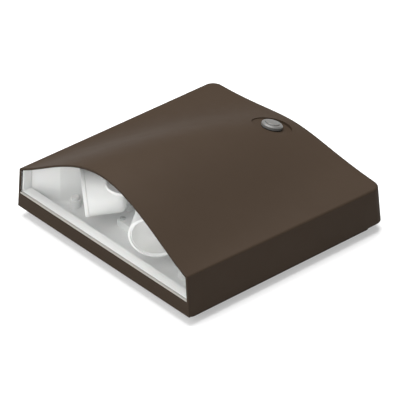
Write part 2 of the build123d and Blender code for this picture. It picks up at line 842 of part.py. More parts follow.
with BuildPart() as reflector_pan:
    with BuildSketch(Plane.XY.offset(pan_under)):
        with BuildLine():
            Polyline(
                *pan_corners,
                (pan_mouth_half, along(pan_floor_front)),
                (-pan_mouth_half, along(pan_floor_front)),
                close=True,
            )
        make_face()
        offset(amount=pan_sheet, kind=Kind.INTERSECTION)
    extrude(amount=block_top)
    with BuildSketch(Plane.XY.offset(pan_floor)):
        with BuildLine():
            Polyline(
                *pan_corners,
                (cover_width, along(pan_front)),
                (cover_width, along(-cover_wall)),
                (-cover_width, along(-cover_wall)),
                (-cover_width, along(pan_front)),
                close=True,
            )
        make_face()
    extrude(amount=block_top, mode=Mode.SUBTRACT)
    floor_edges = reflector_pan.edges().filter_by_position(Axis.Z, pan_floor, pan_floor)
    coves = floor_edges.filter_by(lambda e: e.center().Y > along(pan_front + overcut))
    fillet(coves, pan_cove_radius)
    with BuildSketch(Plane.XY.offset(pan_under)):
        with Locations(*pan_screw_places):
            Circle(pan_boss_radius)
    extrude(amount=pan_sheet + pan_boss_height)
    # keep clear of the seal, the cover's sides and the roof
    seal_inner = seal_edge + seal_width + pan_seal_gap
    with BuildSketch(Plane.XY.offset(pan_under)):
        Rectangle(cover_width, cover_length)
        Rectangle(cover_width - 2 * seal_inner, cover_length - 2 * seal_inner, mode=Mode.SUBTRACT)
    extrude(amount=seal_top + pan_seal_gap - pan_under, mode=Mode.SUBTRACT)
    add(drafted_block(cover_wall + pan_seal_gap, 0.0, 0.0), mode=Mode.INTERSECT)
    add(roof(roof_wall + pan_roof_gap), mode=Mode.INTERSECT)
    with BuildSketch(Plane.XY.offset(pan_under)):
        with Locations(*pan_screw_places, *bracket_screw_places):
            Circle(screw_radius + through_hole_clearance)
    extrude(amount=pan_sheet + pan_boss_height, mode=Mode.SUBTRACT)
save(reflector_pan, "reflector_pan")

pan_screws = screws(
    Plane.XY.offset(pan_floor + pan_boss_height),
    pan_screw_places,
    pan_boss_height + pan_sheet + screw_bite,
    pan_screw_head_radius,
    pan_screw_head_height,
)
save(pan_screws, "pan_screws")

# ---------------------------------------------------------------- lamp bracket
swivel_places = [(side * swivel_x, along(swivel_depth)) for side in (-1, 1)]

with BuildPart() as lamp_bracket:
    with BuildSketch(Plane.XY.offset(pan_floor)):
        with Locations((0, (plinth_near + plinth_far) / 2)):
            RectangleRounded(2 * plinth_half, plinth_length, plinth_corner_radius)
    extrude(amount=plinth_height)
    with BuildSketch(Plane.YZ.offset(-web_thickness / 2)):
        with BuildLine():
            Polyline(
                (along(web_foot_front), plinth_top - overcut),
                (plinth_far, plinth_top - overcut),
                (plinth_far, shelf_under + overcut),
                (along(web_head_front), shelf_under + overcut),
                close=True,
            )
        make_face()
    extrude(amount=web_thickness)
    with BuildSketch(Plane.XY.offset(shelf_under)):
        with Locations((0, along(cap_depth_from_window))):
            Circle(cap_radius)
        with Locations(*swivel_places):
            Circle(shelf_ear_radius)
        make_hull()
    extrude(amount=shelf_thickness)
    with BuildSketch(Plane.XY.offset(shelf_top)):
        with Locations((0, along(cap_depth_from_window))):
            Circle(cap_radius - cap_rim)
    extrude(amount=-cap_recess, mode=Mode.SUBTRACT)
    # holes for the swivel pins and the bracket's screws, and a pocket in the plinth
    with BuildSketch(Plane.XY.offset(pan_floor + pan_sheet)):
        with Locations(*swivel_places):
            Circle(swivel_pin_radius)
    extrude(amount=shelf_top, mode=Mode.SUBTRACT)
    with BuildSketch(Plane.XY.offset(pan_floor)):
        with Locations((0, (plinth_near + plinth_far) / 2)):
            Rectangle(2 * plinth_pocket_half, plinth_length - 2 * plinth_pocket_wall)
    extrude(amount=plinth_height - plinth_skin, mode=Mode.SUBTRACT)
    with BuildSketch(Plane.XY.offset(pan_floor)):
        with Locations(*bracket_screw_places):
            Circle(screw_radius + through_hole_clearance)
    extrude(amount=plinth_height, mode=Mode.SUBTRACT)
save(lamp_bracket, "lamp_bracket")

bracket_screws = screws(
    Plane.XY.offset(plinth_top), bracket_screw_places, plinth_height + pan_sheet + screw_bite
)
save(bracket_screws, "bracket_screws")

with BuildPart() as swivel_pins:
    with BuildSketch(Plane.XY.offset(pan_floor + pan_sheet)):
        with Locations(*swivel_places):
            Circle(swivel_pin_radius)
    extrude(amount=shelf_top - pan_floor - pan_sheet)
save(swivel_pins, "swivel_pins")

with BuildPart() as swivel_washers:
    for bottom in (plinth_top, shelf_under - swivel_washer):
        with BuildSketch(Plane.XY.offset(bottom)):
            with Locations(*swivel_places):
                Circle(sleeve_radius)
                Circle(swivel_pin_radius, mode=Mode.SUBTRACT)
        extrude(amount=swivel_washer)
save(swivel_washers, "swivel_washers")


# ---------------------------------------------------------------- lamp heads
up = Vector(0, 0, 1)
ring_base = head_reach - ring_thickness
board_face = mirror_throat_reach - mirror_gap
board_back = board_face - led_board_thickness
shell_bore = head_radius - head_wall
shell_floor = head_back_reach + head_wall
shell_middle = head_back_reach + head_wall / 2
ear_inner = knuckle_half + ear_gap
ear_outer = ear_inner + ear_thickness

for side, hand in ((-1, "left"), (1, "right")):
    swivel = Vector(side * swivel_x, along(swivel_depth), rim + tilt_height)
    level = Vector(side * sin(radians(head_aim)), -cos(radians(head_aim)), 0)
    across = up.cross(level)
    aim = level * cos(radians(head_dip)) - up * sin(radians(head_dip))
    pin = swivel + level * arm_length
    face_plane = Plane(origin=pin, x_dir=across, z_dir=aim)
    profile_plane = Plane(origin=pin, x_dir=across, z_dir=-face_plane.y_dir)
    hinge_plane = Plane(origin=pin, x_dir=aim, z_dir=across)
    arm_plane = Plane(origin=pin, x_dir=level, z_dir=across)
    head_axis = Axis(pin, aim)

    with BuildPart() as head_shell:
        with BuildSketch(profile_plane):
            with BuildLine():
                rim_step = ring_base - head_rim_depth
                rim_start = rim_step + head_rim_bevel
                bend_radius = head_radius - head_back_bend
                Line((0, head_back_reach), (head_back_radius, head_back_reach))
                Bezier(
                    (head_back_radius, head_back_reach),
                    (bend_radius, head_back_reach),
                    (head_radius, head_back_reach + head_back_bend),
                    (head_radius, head_shoulder_reach),
                )
                Line((head_radius, head_shoulder_reach), (head_radius, rim_step))
                Line((head_radius, rim_step), (head_rim_radius, rim_start))
                Line((head_rim_radius, rim_start), (head_rim_radius, ring_base))
                Line((head_rim_radius, ring_base), (shell_bore, ring_base))
                Line((shell_bore, ring_base), (shell_bore, head_shoulder_reach))
                Bezier(
                    (shell_bore, head_shoulder_reach),
                    (shell_bore, shell_floor + head_back_bend),
                    (bend_radius - head_wall, shell_floor),
                    (head_back_radius, shell_floor),
                )
                Line((head_back_radius, shell_floor), (0, shell_floor))
                Line((0, shell_floor), (0, head_back_reach))
            make_face()
        revolve(axis=head_axis)
        with BuildSketch(face_plane.offset(shell_middle)):
            Circle(head_post_radius)
        extrude(amount=board_back - shell_middle)
        with BuildSketch(hinge_plane.offset(-knuckle_half)):
            Circle(knuckle_radius)
            with Locations((shell_middle / 2, 0)):
                Rectangle(shell_middle, 2 * knuckle_radius)
        extrude(amount=2 * knuckle_half)
        with BuildSketch(hinge_plane.offset(-knuckle_half)):
            Circle(tilt_pin_radius + tilt_pin_clearance)
        extrude(amount=2 * knuckle_half, mode=Mode.SUBTRACT)
    save(head_shell, f"{hand}_head_shell")

    with BuildPart() as lamp_ring:
        with BuildSketch(face_plane.offset(ring_base)):
            Circle(head_rim_radius)
            Circle(ring_opening, mode=Mode.SUBTRACT)
        extrude(amount=ring_thickness)
        fillet(lamp_ring.edges().group_by(Axis(pin, aim))[-1], ring_edge_radius)
    save(lamp_ring, f"{hand}_lamp_ring")

    with BuildPart() as mirror:
        with BuildSketch(profile_plane):
            with BuildLine():
                lip = shell_bore - mirror_gap
                lip_under = ring_base - mirror_sheet
                throat_top = mirror_throat_reach + mirror_sheet
                bowl_radius = ring_opening - mirror_sheet
                Line((mirror_throat_radius, mirror_throat_reach), (mirror_throat_radius, throat_top))
                Bezier(
                    (mirror_throat_radius, throat_top),
                    (mirror_flare_radius, throat_top + mirror_flare_rise),
                    (bowl_radius, mirror_belly_reach),
                    (bowl_radius, ring_base),
                )
                Line((bowl_radius, ring_base), (lip, ring_base))
                Line((lip, ring_base), (lip, lip_under))
                Line((lip, lip_under), (ring_opening, lip_under))
                Bezier(
                    (ring_opening, lip_under),
                    (ring_opening, mirror_belly_reach - mirror_sheet),
                    (mirror_flare_radius + mirror_sheet, mirror_throat_reach + mirror_flare_rise),
                    (mirror_throat_radius + mirror_sheet, mirror_throat_reach),
                )
                Line(
                    (mirror_throat_radius + mirror_sheet, mirror_throat_reach),
                    (mirror_throat_radius, mirror_throat_reach),
                )
            make_face()
        revolve(axis=head_axis)
    save(mirror, f"{hand}_lamp_mirror")

    with BuildPart() as led_board:
        with BuildSketch(face_plane.offset(board_back)):
            Circle(led_board_radius)
        extrude(amount=led_board_thickness)
    save(led_board, f"{hand}_led_board")

    with BuildPart() as led_dome:
        with BuildSketch(profile_plane):
            with BuildLine():
                dome_base = board_face + led_collar
                dome_top = dome_base + led_dome_rise
                Polyline((0, board_face), (led_radius, board_face), (led_radius, dome_base))
                Bezier(
                    (led_radius, dome_base),
                    (led_radius, mix(dome_base, dome_top, led_dome_fullness)),
                    (led_radius * led_dome_fullness, dome_top),
                    (0, dome_top),
                )
                Line((0, dome_top), (0, board_face))
            make_face()
        revolve(axis=head_axis)
    save(led_dome, f"{hand}_led_dome")

    with BuildPart() as yoke:
        sleeve_bottom = plinth_top + swivel_washer
        sleeve_length = shelf_under - swivel_washer - sleeve_bottom
        with BuildSketch(Plane.XY.offset(sleeve_bottom)):
            with Locations((swivel.X, swivel.Y)):
                Circle(sleeve_radius)
        extrude(amount=sleeve_length)
        for start in (ear_inner, -ear_outer):
            with BuildSketch(arm_plane.offset(start)):
                Circle(knuckle_radius)
                with Locations((-arm_length / 2, 0)):
                    Rectangle(arm_length, 2 * knuckle_radius)
            extrude(amount=ear_thickness)
        bridge = arm_length - knuckle_radius - bridge_gap
        with BuildSketch(arm_plane.offset(-ear_outer)):
            with Locations((-arm_length + bridge / 2, 0)):
                Rectangle(bridge, 2 * knuckle_radius)
        extrude(amount=2 * ear_outer)
        with BuildSketch(arm_plane.offset(-ear_outer)):
            Circle(tilt_pin_radius)
        extrude(amount=2 * ear_outer, mode=Mode.SUBTRACT)
        with BuildSketch(Plane.XY.offset(sleeve_bottom)):
            with Locations((swivel.X, swivel.Y)):
                Circle(swivel_pin_radius + swivel_clearance)
        extrude(amount=sleeve_length, mode=Mode.SUBTRACT)
    save(yoke, f"{hand}_yoke")

    with BuildPart() as tilt_screw:
        with BuildSketch(arm_plane.offset(-ear_outer)):
            Circle(tilt_pin_radius)
        extrude(amount=2 * ear_outer)
        with BuildSketch(arm_plane.offset(ear_outer)):
            Circle(tilt_head_radius)
        extrude(amount=tilt_head_height)
        with BuildSketch(arm_plane.offset(ear_outer + tilt_head_height)):
            Rectangle(2 * (tilt_head_radius + overcut), slot_width)
        extrude(amount=-slot_depth, mode=Mode.SUBTRACT)
    save(tilt_screw, f"{hand}_tilt_screw")

# ---------------------------------------------------------------- test button
bezel_bore = button_radius + button_clearance
stem_hole = button_stem_radius + button_clearance

with BuildPart() as button_bezel:
    with BuildSketch(button_plane.offset(bezel_base)):
        Circle(bezel_radius)
    extrude(amount=bezel_height)
    chamfer(button_bezel.edges().group_by(Axis(recess_origin, recess_axis))[-1], bezel_bevel)
    with BuildSketch(button_plane.offset(neck_end)):
        Circle(bezel_neck_radius)
    extrude(amount=bezel_base - neck_end)
    with BuildSketch(button_plane.offset(neck_end + bezel_floor)):
        Circle(bezel_bore)
    extrude(amount=recess_reach, mode=Mode.SUBTRACT)
    with BuildSketch(button_plane.offset(neck_end)):
        Circle(stem_hole)
    extrude(amount=bezel_floor, mode=Mode.SUBTRACT)
save(button_bezel, "button_bezel")

with BuildPart() as button_seal:
    with BuildSketch(button_plane):
        Circle(bezel_radius - seal_ring_inset)
        Circle(bezel_neck_radius, mode=Mode.SUBTRACT)
    extrude(amount=seal_ring_thickness)
save(button_seal, "button_seal")

with BuildPart() as button_nut:
    with BuildSketch(button_plane.offset(pad_under - nut_thickness)):
        RegularPolygon(nut_radius, 6)
        Circle(bezel_neck_radius, mode=Mode.SUBTRACT)
    extrude(amount=nut_thickness)
save(button_nut, "button_nut")

cap_under = button_top - button_cap_thickness
with BuildPart() as test_button:
    with BuildSketch(button_plane.offset(cap_under)):
        Circle(button_radius)
    extrude(amount=button_cap_thickness)
    fillet(test_button.edges().group_by(Axis(recess_origin, recess_axis))[-1], button_edge_radius)
    with BuildSketch(button_plane.offset(stem_end)):
        Circle(button_stem_radius)
    extrude(amount=cap_under - stem_end)
    with BuildSketch(button_plane.offset(stem_end)):
        Circle(button_foot_radius)
    extrude(amount=button_foot_thickness)
save(test_button, "test_button")

spring_start = neck_end + bezel_floor + spring_wire / 2 + spring_seat_gap
spring_height = cap_under - spring_wire / 2 - spring_seat_gap - spring_start
with BuildPart() as button_spring:
    with BuildLine(button_plane.offset(spring_start)) as coil:
        Helix(spring_height / spring_turns, spring_height, spring_radius, direction=recess_axis)
    with BuildSketch(Plane(origin=coil.line @ 0, z_dir=coil.line % 0)):
        Circle(spring_wire / 2)
    sweep(path=coil.line, is_frenet=True)
save(button_spring, "button_spring")

board_plane = button_plane.offset(switch_board_top - board_thickness)
board_places = [(-switch_post_x, 0), (switch_post_x, 0)]
with BuildPart() as switch_board:
    with BuildSketch(board_plane):
        RectangleRounded(switch_board_width, switch_board_length, board_corner_radius)
        with Locations(*board_places):
            Circle(screw_radius + board_hole_clearance, mode=Mode.SUBTRACT)
    extrude(amount=board_thickness)
save(switch_board, "switch_board")

with BuildPart() as test_switch:
    with BuildSketch(button_plane.offset(switch_board_top)):
        Rectangle(switch_size, switch_size)
    extrude(amount=switch_height)
    with BuildSketch(button_plane.offset(switch_top)):
        Circle(plunger_radius)
    extrude(amount=plunger_height)
save(test_switch, "test_switch")

with BuildPart() as status_led:
    with BuildSketch(button_plane.offset(switch_board_top)):
        with Locations((0, switch_size)):
            Circle(status_led_radius)
    extrude(amount=status_led_height)
    fillet(status_led.edges().group_by(Axis(recess_origin, recess_axis))[-1], status_led_dome)
save(status_led, "status_led")

screw_plane = Plane(origin=board_plane.origin, x_dir=(1, 0, 0), z_dir=-board_plane.z_dir)
switch_screws = screws(screw_plane, board_places, board_thickness + screw_bite)
save(switch_screws, "switch_screws")

# ---------------------------------------------------------------- cover screws
screw_seat = far_face - cover_screw_sink - cover_screw_head_height
screw_tip = ear_near - nut_gap - square_nut_thickness - cover_screw_end
with BuildPart() as cover_screws:
    with BuildSketch(Plane.XZ.offset(-screw_seat)):
        with Locations(*cover_screw_places):
            Circle(cover_screw_radius)
    extrude(amount=screw_seat - screw_tip)
    with BuildSketch(Plane.XZ.offset(-screw_seat)):
        with Locations(*cover_screw_places):
            Circle(cover_screw_head_radius)
    extrude(amount=-cover_screw_head_height)
    with BuildSketch(Plane.XZ.offset(-screw_seat - cover_screw_head_height)):
        with Locations(*cover_screw_places):
            RegularPolygon(cover_socket_radius, 6)
    extrude(amount=cover_socket_depth, mode=Mode.SUBTRACT)
save(cover_screws, "cover_screws")

with BuildPart() as cover_nuts:
    with BuildSketch(Plane.XZ.offset(-(ear_near - nut_gap))):
        with Locations(*cover_screw_places):
            Rectangle(nut_side, nut_side)
            Circle(cover_screw_radius, mode=Mode.SUBTRACT)
    extrude(amount=square_nut_thickness)
save(cover_nuts, "cover_nuts")

# ---------------------------------------------------------------- battery
cell_z = floor_top + wrap_thickness + cell_radius
with BuildPart() as battery_cells:
    for column in (-1, 1):
        for start in (battery_front, battery_front + cell_length + cell_gap):
            with BuildSketch(Plane.XZ.offset(-along(start))):
                with Locations((battery_x + column * row_offset, cell_z)):
                    Circle(cell_radius)
            extrude(amount=-(cell_length - cell_nub_height))
            with BuildSketch(Plane.XZ.offset(-along(start + cell_length - cell_nub_height))):
                with Locations((battery_x + column * row_offset, cell_z)):
                    Circle(cell_nub_radius)
            extrude(amount=-cell_nub_height)
save(battery_cells, "battery_cells")

with BuildPart() as battery_wrap:
    with BuildSketch(Plane.XZ.offset(-along(battery_front))):
        with Locations((battery_x - row_offset, cell_z), (battery_x + row_offset, cell_z)):
            Circle(cell_radius + wrap_thickness)
        make_hull()
        with Locations((battery_x, cell_z)):
            SlotCenterToCenter(2 * row_offset, 2 * cell_radius, mode=Mode.SUBTRACT)
    extrude(amount=-pack_length)
save(battery_wrap, "battery_wrap")

pack_height = 2 * (cell_radius + wrap_thickness)
clamp_inner = pack_height + clamp_gap
with BuildPart() as battery_clamps:
    for row in clamp_rows:
        with BuildSketch(Plane.XZ.offset(-(row - clamp_width / 2))):
            with Locations((battery_x, floor_top + clamp_inner / 2)):
                RectangleRounded(
                    2 * (clamp_leg + clamp_thickness),
                    clamp_inner + 2 * clamp_thickness,
                    clamp_bend_radius,
                )
                RectangleRounded(
                    2 * clamp_leg,
                    clamp_inner,
                    clamp_bend_radius - clamp_thickness,
                    mode=Mode.SUBTRACT,
                )
            with Locations((battery_x, foot_level / 2)):
                Rectangle(2 * clamp_half, foot_level, mode=Mode.SUBTRACT)
            for foot_side in (-1, 1):
                foot_middle = clamp_leg + (clamp_thickness + clamp_foot) / 2
                with Locations(
                    (battery_x + foot_side * foot_middle, foot_level + clamp_thickness / 2)
                ):
                    Rectangle(clamp_foot + clamp_thickness, clamp_thickness)
        extrude(amount=-clamp_width)
    with BuildSketch(Plane.XY.offset(foot_level)):
        with Locations(*clamp_screw_places):
            Circle(screw_radius + through_hole_clearance)
    extrude(amount=clamp_thickness, mode=Mode.SUBTRACT)
save(battery_clamps, "battery_clamps")

clamp_screws = screws(
    Plane.XY.offset(foot_level + clamp_thickness),
    clamp_screw_places,
    clamp_thickness + clamp_screw_bite,
)
save(clamp_screws, "clamp_screws")

# ---------------------------------------------------------------- charger board
with BuildPart() as charger_board:
    with BuildSketch(Plane.XY.offset(charger_under)):
        with Locations((charger_x, charger_middle)):
            RectangleRounded(charger_width, charger_length, board_corner_radius)
        with Locations(*charger_places):
            Circle(screw_radius + board_hole_clearance, mode=Mode.SUBTRACT)
    extrude(amount=board_thickness)
save(charger_board, "charger_board")

board_screws = screws(
    Plane.XY.offset(charger_top),
    charger_places,
    board_thickness + screw_bite,
    board_screw_head_radius,
    board_screw_head_height,
)
save(board_screws, "board_screws")


def on_board(place):
    """Place on the charger board, given from its middle."""
    return (charger_x + place[0], charger_middle + place[1])


with BuildPart() as relay:
    with BuildSketch(Plane.XY.offset(charger_top)):
        with Locations(on_board(relay_place)):
            RectangleRounded(relay_size[0], relay_size[1], edge_radius)
    extrude(amount=relay_size[2])
save(relay, "relay")

with BuildPart() as heat_sink:
    with BuildSketch(Plane.XY.offset(charger_top)):
        with Locations(on_board(sink_place)):
            Rectangle(sink_size[0], sink_size[1])
    extrude(amount=sink_base)
    with BuildSketch(Plane.XY.offset(charger_top + sink_base)):
        with Locations(on_board(sink_place)):
            fin_step = (sink_size[0] - sink_fin) / (sink_fins - 1)
            with GridLocations(fin_step, 1, sink_fins, 1):
                Rectangle(sink_fin, sink_size[1])
    extrude(amount=sink_size[2] - sink_base)
save(heat_sink, "heat_sink")

with BuildPart() as capacitors:
    with BuildSketch(Plane.XY.offset(charger_top)):
        with Locations(on_board(capacitor_place)):
            with GridLocations(1, capacitor_pitch, 1, capacitor_count):
                Circle(capacitor_radius)
    extrude(amount=capacitor_height)
    fillet(capacitors.edges().group_by(Axis.Z)[-1], edge_radius)
save(capacitors, "capacitors")

fuse_x, fuse_y = on_board(fuse_place)
fuse_z = charger_top + fuse_lift + fuse_radius
with BuildPart() as fuse:
    with BuildSketch(Plane.XZ.offset(-(fuse_y - fuse_length / 2))):
        with Locations((fuse_x, fuse_z)):
            Circle(fuse_radius)
    extrude(amount=-fuse_length)
save(fuse, "fuse")

with BuildPart() as fuse_clips:
    for end in (-1, 1):
        clip_middle = fuse_y + end * (fuse_length / 2 - clip_inset)
        with BuildSketch(Plane.XZ.offset(-(clip_middle - clip_length / 2))):
            with Locations((fuse_x, charger_top + clip_height / 2)):
                Rectangle(2 * (fuse_radius + clip_wall), clip_height)
            with Locations((fuse_x, fuse_z)):
                Circle(fuse_radius, mode=Mode.SUBTRACT)
            # the clip is open above the fuse
            with Locations((fuse_x, charger_top + clip_height)):
                Rectangle(2 * (fuse_radius - clip_wall), clip_height, mode=Mode.SUBTRACT)
        extrude(amount=-clip_length)
save(fuse_clips, "fuse_clips")

# ---------------------------------------------------------------- transformer
window_half = (core_width - 2 * core_leg - 2 * core_leg) / 4
window_x = core_leg + window_half
with BuildPart() as transformer_core:
    with BuildSketch(Plane.XZ.offset(-(transformer_y - core_length / 2))):
        with Locations((0, floor_top + core_height / 2)):
            Rectangle(core_width, core_height)
            with GridLocations(2 * window_x, 1, 2, 1):
                Rectangle(2 * window_half, core_height - 2 * core_leg, mode=Mode.SUBTRACT)
    extrude(amount=-core_length)
    with BuildSketch(Plane.XY.offset(seat_level)):
        with Locations(*foot_places):
            Rectangle(core_foot, core_length / 2)
            Circle(screw_radius + through_hole_clearance, mode=Mode.SUBTRACT)
    extrude(amount=core_foot_thickness)
save(transformer_core, "transformer_core")

with BuildPart() as transformer_coil:
    coil_width = 2 * (core_leg + 2 * window_half - coil_clearance)
    with BuildSketch(Plane.XY.offset(floor_top + core_leg + coil_clearance)):
        with Locations((0, transformer_y)):
            RectangleRounded(coil_width, coil_length, coil_corner_radius)
            Rectangle(
                2 * (core_leg + coil_clearance),
                core_length + 2 * coil_clearance,
                mode=Mode.SUBTRACT,
            )
    extrude(amount=core_height - 2 * (core_leg + coil_clearance))
save(transformer_coil, "transformer_coil")

transformer_screws = screws(
    Plane.XY.offset(seat_level + core_foot_thickness),
    foot_places,
    core_foot_thickness + seat_post_height,
)
save(transformer_screws, "transformer_screws")

# ---------------------------------------------------------------- terminals
terminal_top = seat_level + terminal_block_height
with BuildPart() as terminal_block:
    with BuildSketch(Plane.XY.offset(seat_level)):
        with Locations((0, terminal_y)):
            Rectangle(2 * terminal_half, terminal_depth)
    extrude(amount=terminal_block_height)
    with BuildSketch(Plane.XY.offset(seat_level)):
        with Locations((0, terminal_y)):
            Rectangle(2 * (terminal_half + terminal_tab), terminal_depth / 2)
        with Locations(*terminal_screw_places):
            Circle(screw_radius + through_hole_clearance, mode=Mode.SUBTRACT)
    extrude(amount=terminal_tab_thickness)
    with BuildSketch(Plane.XY.offset(terminal_top)):
        with Locations((0, terminal_y)):
            with GridLocations(terminal_pitch, 1, terminal_ways, 1):
                Circle(terminal_well_radius)
    extrude(amount=-terminal_well_depth, mode=Mode.SUBTRACT)
    with BuildSketch(Plane.XZ.offset(-(terminal_y - terminal_depth / 2))):
        with Locations((0, seat_level + terminal_mouth_height)):
            with GridLocations(terminal_pitch, 1, terminal_ways, 1):
                Rectangle(*terminal_mouth)
    extrude(amount=-terminal_depth / 2, mode=Mode.SUBTRACT)
save(terminal_block, "terminal_block")

well_floor = terminal_top - terminal_well_depth
with BuildPart() as terminal_screws:
    with BuildSketch(Plane.XY.offset(well_floor)):
        with Locations((0, terminal_y)):
            with GridLocations(terminal_pitch, 1, terminal_ways, 1):
                Circle(terminal_screw_radius)
    extrude(amount=terminal_screw_height)
    with BuildSketch(Plane.XY.offset(well_floor + terminal_screw_height)):
        with Locations((0, terminal_y)):
            with GridLocations(terminal_pitch, 1, terminal_ways, 1):
                Rectangle(2 * terminal_well_radius, slot_width)
    extrude(amount=-slot_depth, mode=Mode.SUBTRACT)
save(terminal_screws, "terminal_screws")

block_screws = screws(
    Plane.XY.offset(seat_level + terminal_tab_thickness),
    terminal_screw_places,
    terminal_tab_thickness + seat_post_height,
)
save(block_screws, "block_screws")

ground_screw = screws(
    Plane.XY.offset(seat_level),
    [ground_place],
    seat_post_height,
    ground_head_radius,
    ground_head_height,
)
save(ground_screw, "ground_screw")
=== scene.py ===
import json
from math import cos, pi, radians, sin

import bmesh
import bpy
from bpy.props import FloatProperty, FloatVectorProperty, IntProperty, PointerProperty
from bpy.types import NodeSocket, Operator, Panel, PropertyGroup
from mathutils import Matrix, Vector

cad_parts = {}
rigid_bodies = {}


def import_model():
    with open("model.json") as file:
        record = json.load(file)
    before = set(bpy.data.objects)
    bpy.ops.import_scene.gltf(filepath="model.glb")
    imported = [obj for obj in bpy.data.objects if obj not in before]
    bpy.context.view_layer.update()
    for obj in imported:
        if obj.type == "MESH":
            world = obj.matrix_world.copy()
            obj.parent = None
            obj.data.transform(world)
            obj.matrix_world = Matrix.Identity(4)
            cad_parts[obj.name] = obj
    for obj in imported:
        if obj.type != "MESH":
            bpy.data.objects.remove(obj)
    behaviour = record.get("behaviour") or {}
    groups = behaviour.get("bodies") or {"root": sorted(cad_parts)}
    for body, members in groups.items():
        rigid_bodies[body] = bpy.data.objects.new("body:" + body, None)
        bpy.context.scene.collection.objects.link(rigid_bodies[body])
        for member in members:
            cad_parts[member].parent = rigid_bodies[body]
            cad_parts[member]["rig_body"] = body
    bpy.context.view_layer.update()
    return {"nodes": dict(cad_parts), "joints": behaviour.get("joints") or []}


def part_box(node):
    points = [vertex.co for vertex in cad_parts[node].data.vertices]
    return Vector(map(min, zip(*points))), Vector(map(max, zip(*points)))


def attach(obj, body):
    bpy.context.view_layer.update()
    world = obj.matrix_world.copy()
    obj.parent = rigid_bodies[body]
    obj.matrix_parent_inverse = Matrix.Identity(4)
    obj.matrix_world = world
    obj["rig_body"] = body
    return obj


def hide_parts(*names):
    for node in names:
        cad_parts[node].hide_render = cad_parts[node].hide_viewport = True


bl_info = {
    "name": "Wall Pack Light",
    "version": (1, 0, 0),
    "blender": (4, 5, 0),
    "location": "View3D > Sidebar > Wall Pack",
    "description": "Dresses a wall pack light: powder-coated cover, clear window, lamp heads and works",
    "category": "Object",
}

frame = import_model()
nodes = frame["nodes"]

MM = 0.001
MERGE_DISTANCE = 0.002 * MM   # corners nearer than this are one corner
FLAT_ANGLE = radians(0.15)    # faces that turn less than this are one flat face
SHARP_ANGLE = radians(32)     # edges that turn more than this are drawn sharp
PAN_SHARP_ANGLE = radians(20)   # the same for the pan, whose walls meet at 25 degrees
WIRE_SHARP_ANGLE = radians(60)  # the same for round wire, which has few sides
TABLE_HALF = 12.0             # half the side of the table

# The button's axis, out of the cover
BUTTON_AXIS = -Vector(next(j["axis"] for j in frame["joints"] if j["name"] == "button_press"))


def middle(node):
    """The middle of a node's box at rest."""
    low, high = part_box(node)
    return (Vector(low) + Vector(high)) / 2


def span(node):
    """The sizes of a node's box at rest."""
    low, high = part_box(node)
    return Vector(high) - Vector(low)


def body_of(node):
    """The name of the body that a CAD node rides on."""
    return nodes[node]["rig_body"]


# ---------------------------------------------------------------- colours and nodes
def linear(hex_color):
    """An sRGB hex colour as linear red, green and blue."""
    channels = [int(hex_color[start:start + 2], 16) / 255 for start in (1, 3, 5)]
    return tuple(c / 12.92 if c <= 0.04045 else ((c + 0.055) / 1.055) ** 2.4 for c in channels)


def add_node(tree, kind, inputs=None, **settings):
    """Adds a node, with its settings, its input values and the sockets linked into it."""
    node = tree.nodes.new(kind)
    for name, value in settings.items():
        setattr(node, name, value)
    for key, value in (inputs or {}).items():
        if isinstance(value, NodeSocket):
            tree.links.new(value, node.inputs[key])
        else:
            node.inputs[key].default_value = value
    return node


def new_surface(name, color, roughness, **values):
    """A material with its shader's own sockets set. Returns the material, its tree and shader."""
    material = bpy.data.materials.new(name)
    material.use_nodes = True
    tree = material.node_tree
    shader = tree.nodes["Principled BSDF"]
    shader.inputs["Base Color"].default_value = (*color, 1.0)
    shader.inputs["Roughness"].default_value = roughness
    for key, value in values.items():
        shader.inputs[key.replace("_", " ").title().replace("Ior", "IOR")].default_value = value
    return material, tree, shader


def noise(tree, size, detail=2.0, stretch=(1.0, 1.0, 1.0)):
    """Noise whose patches are about size across, on object coordinates."""
    coords = add_node(tree, "ShaderNodeTexCoord")
    mapping = add_node(
        tree, "ShaderNodeMapping", {"Vector": coords.outputs["Object"], "Scale": stretch}
    )
    texture = add_node(
        tree,
        "ShaderNodeTexNoise",
        {"Vector": mapping.outputs["Vector"], "Scale": 1 / size, "Detail": detail},
    )
    return texture.outputs["Fac"]


def tint(tree, shader, dark, light, factor):
    """Colour that wanders between two tones."""
    mix = add_node(
        tree,
        "ShaderNodeMix",
        {"Factor": factor, "A": (*dark, 1.0), "B": (*light, 1.0)},
        data_type="RGBA",
    )
    tree.links.new(mix.outputs["Result"], shader.inputs["Base Color"])


def vary_roughness(tree, shader, low, high, factor):
    """Roughness that wanders between two values."""
    spread = add_node(tree, "ShaderNodeMapRange", {"Value": factor, "To Min": low, "To Max": high})
    tree.links.new(spread.outputs["Result"], shader.inputs["Roughness"])


def raise_bumps(tree, shader, height, depth, strength=1.0):
    """Bumps of that depth on the surface."""
    bump = add_node(
        tree, "ShaderNodeBump", {"Height": height, "Distance": depth, "Strength": strength}
    )
    tree.links.new(bump.outputs["Normal"], shader.inputs["Normal"])


# ---------------------------------------------------------------- finishes
def powder_coat(settings):
    """Bronze polyester powder coat on die-cast aluminium, sprayed and baked.

    The powder melts into a satin film with a faint orange peel, about a millimetre from crest
    to crest, and its tone drifts a little over the casting."""
    color = tuple(settings.paint_color)
    material, tree, shader = new_surface(
        "bronze powder coat", color, 0.75, ior=1.5, specular_ior_level=settings.paint_gloss
    )
    drift = noise(tree, 0.09, detail=1.0)
    tint(tree, shader, [c * 0.94 for c in color], [c * 1.06 for c in color], drift)
    vary_roughness(tree, shader, 0.7, 0.8, noise(tree, 0.02))
    raise_bumps(tree, shader, noise(tree, settings.peel_size), settings.peel_depth, 0.6)
    return material


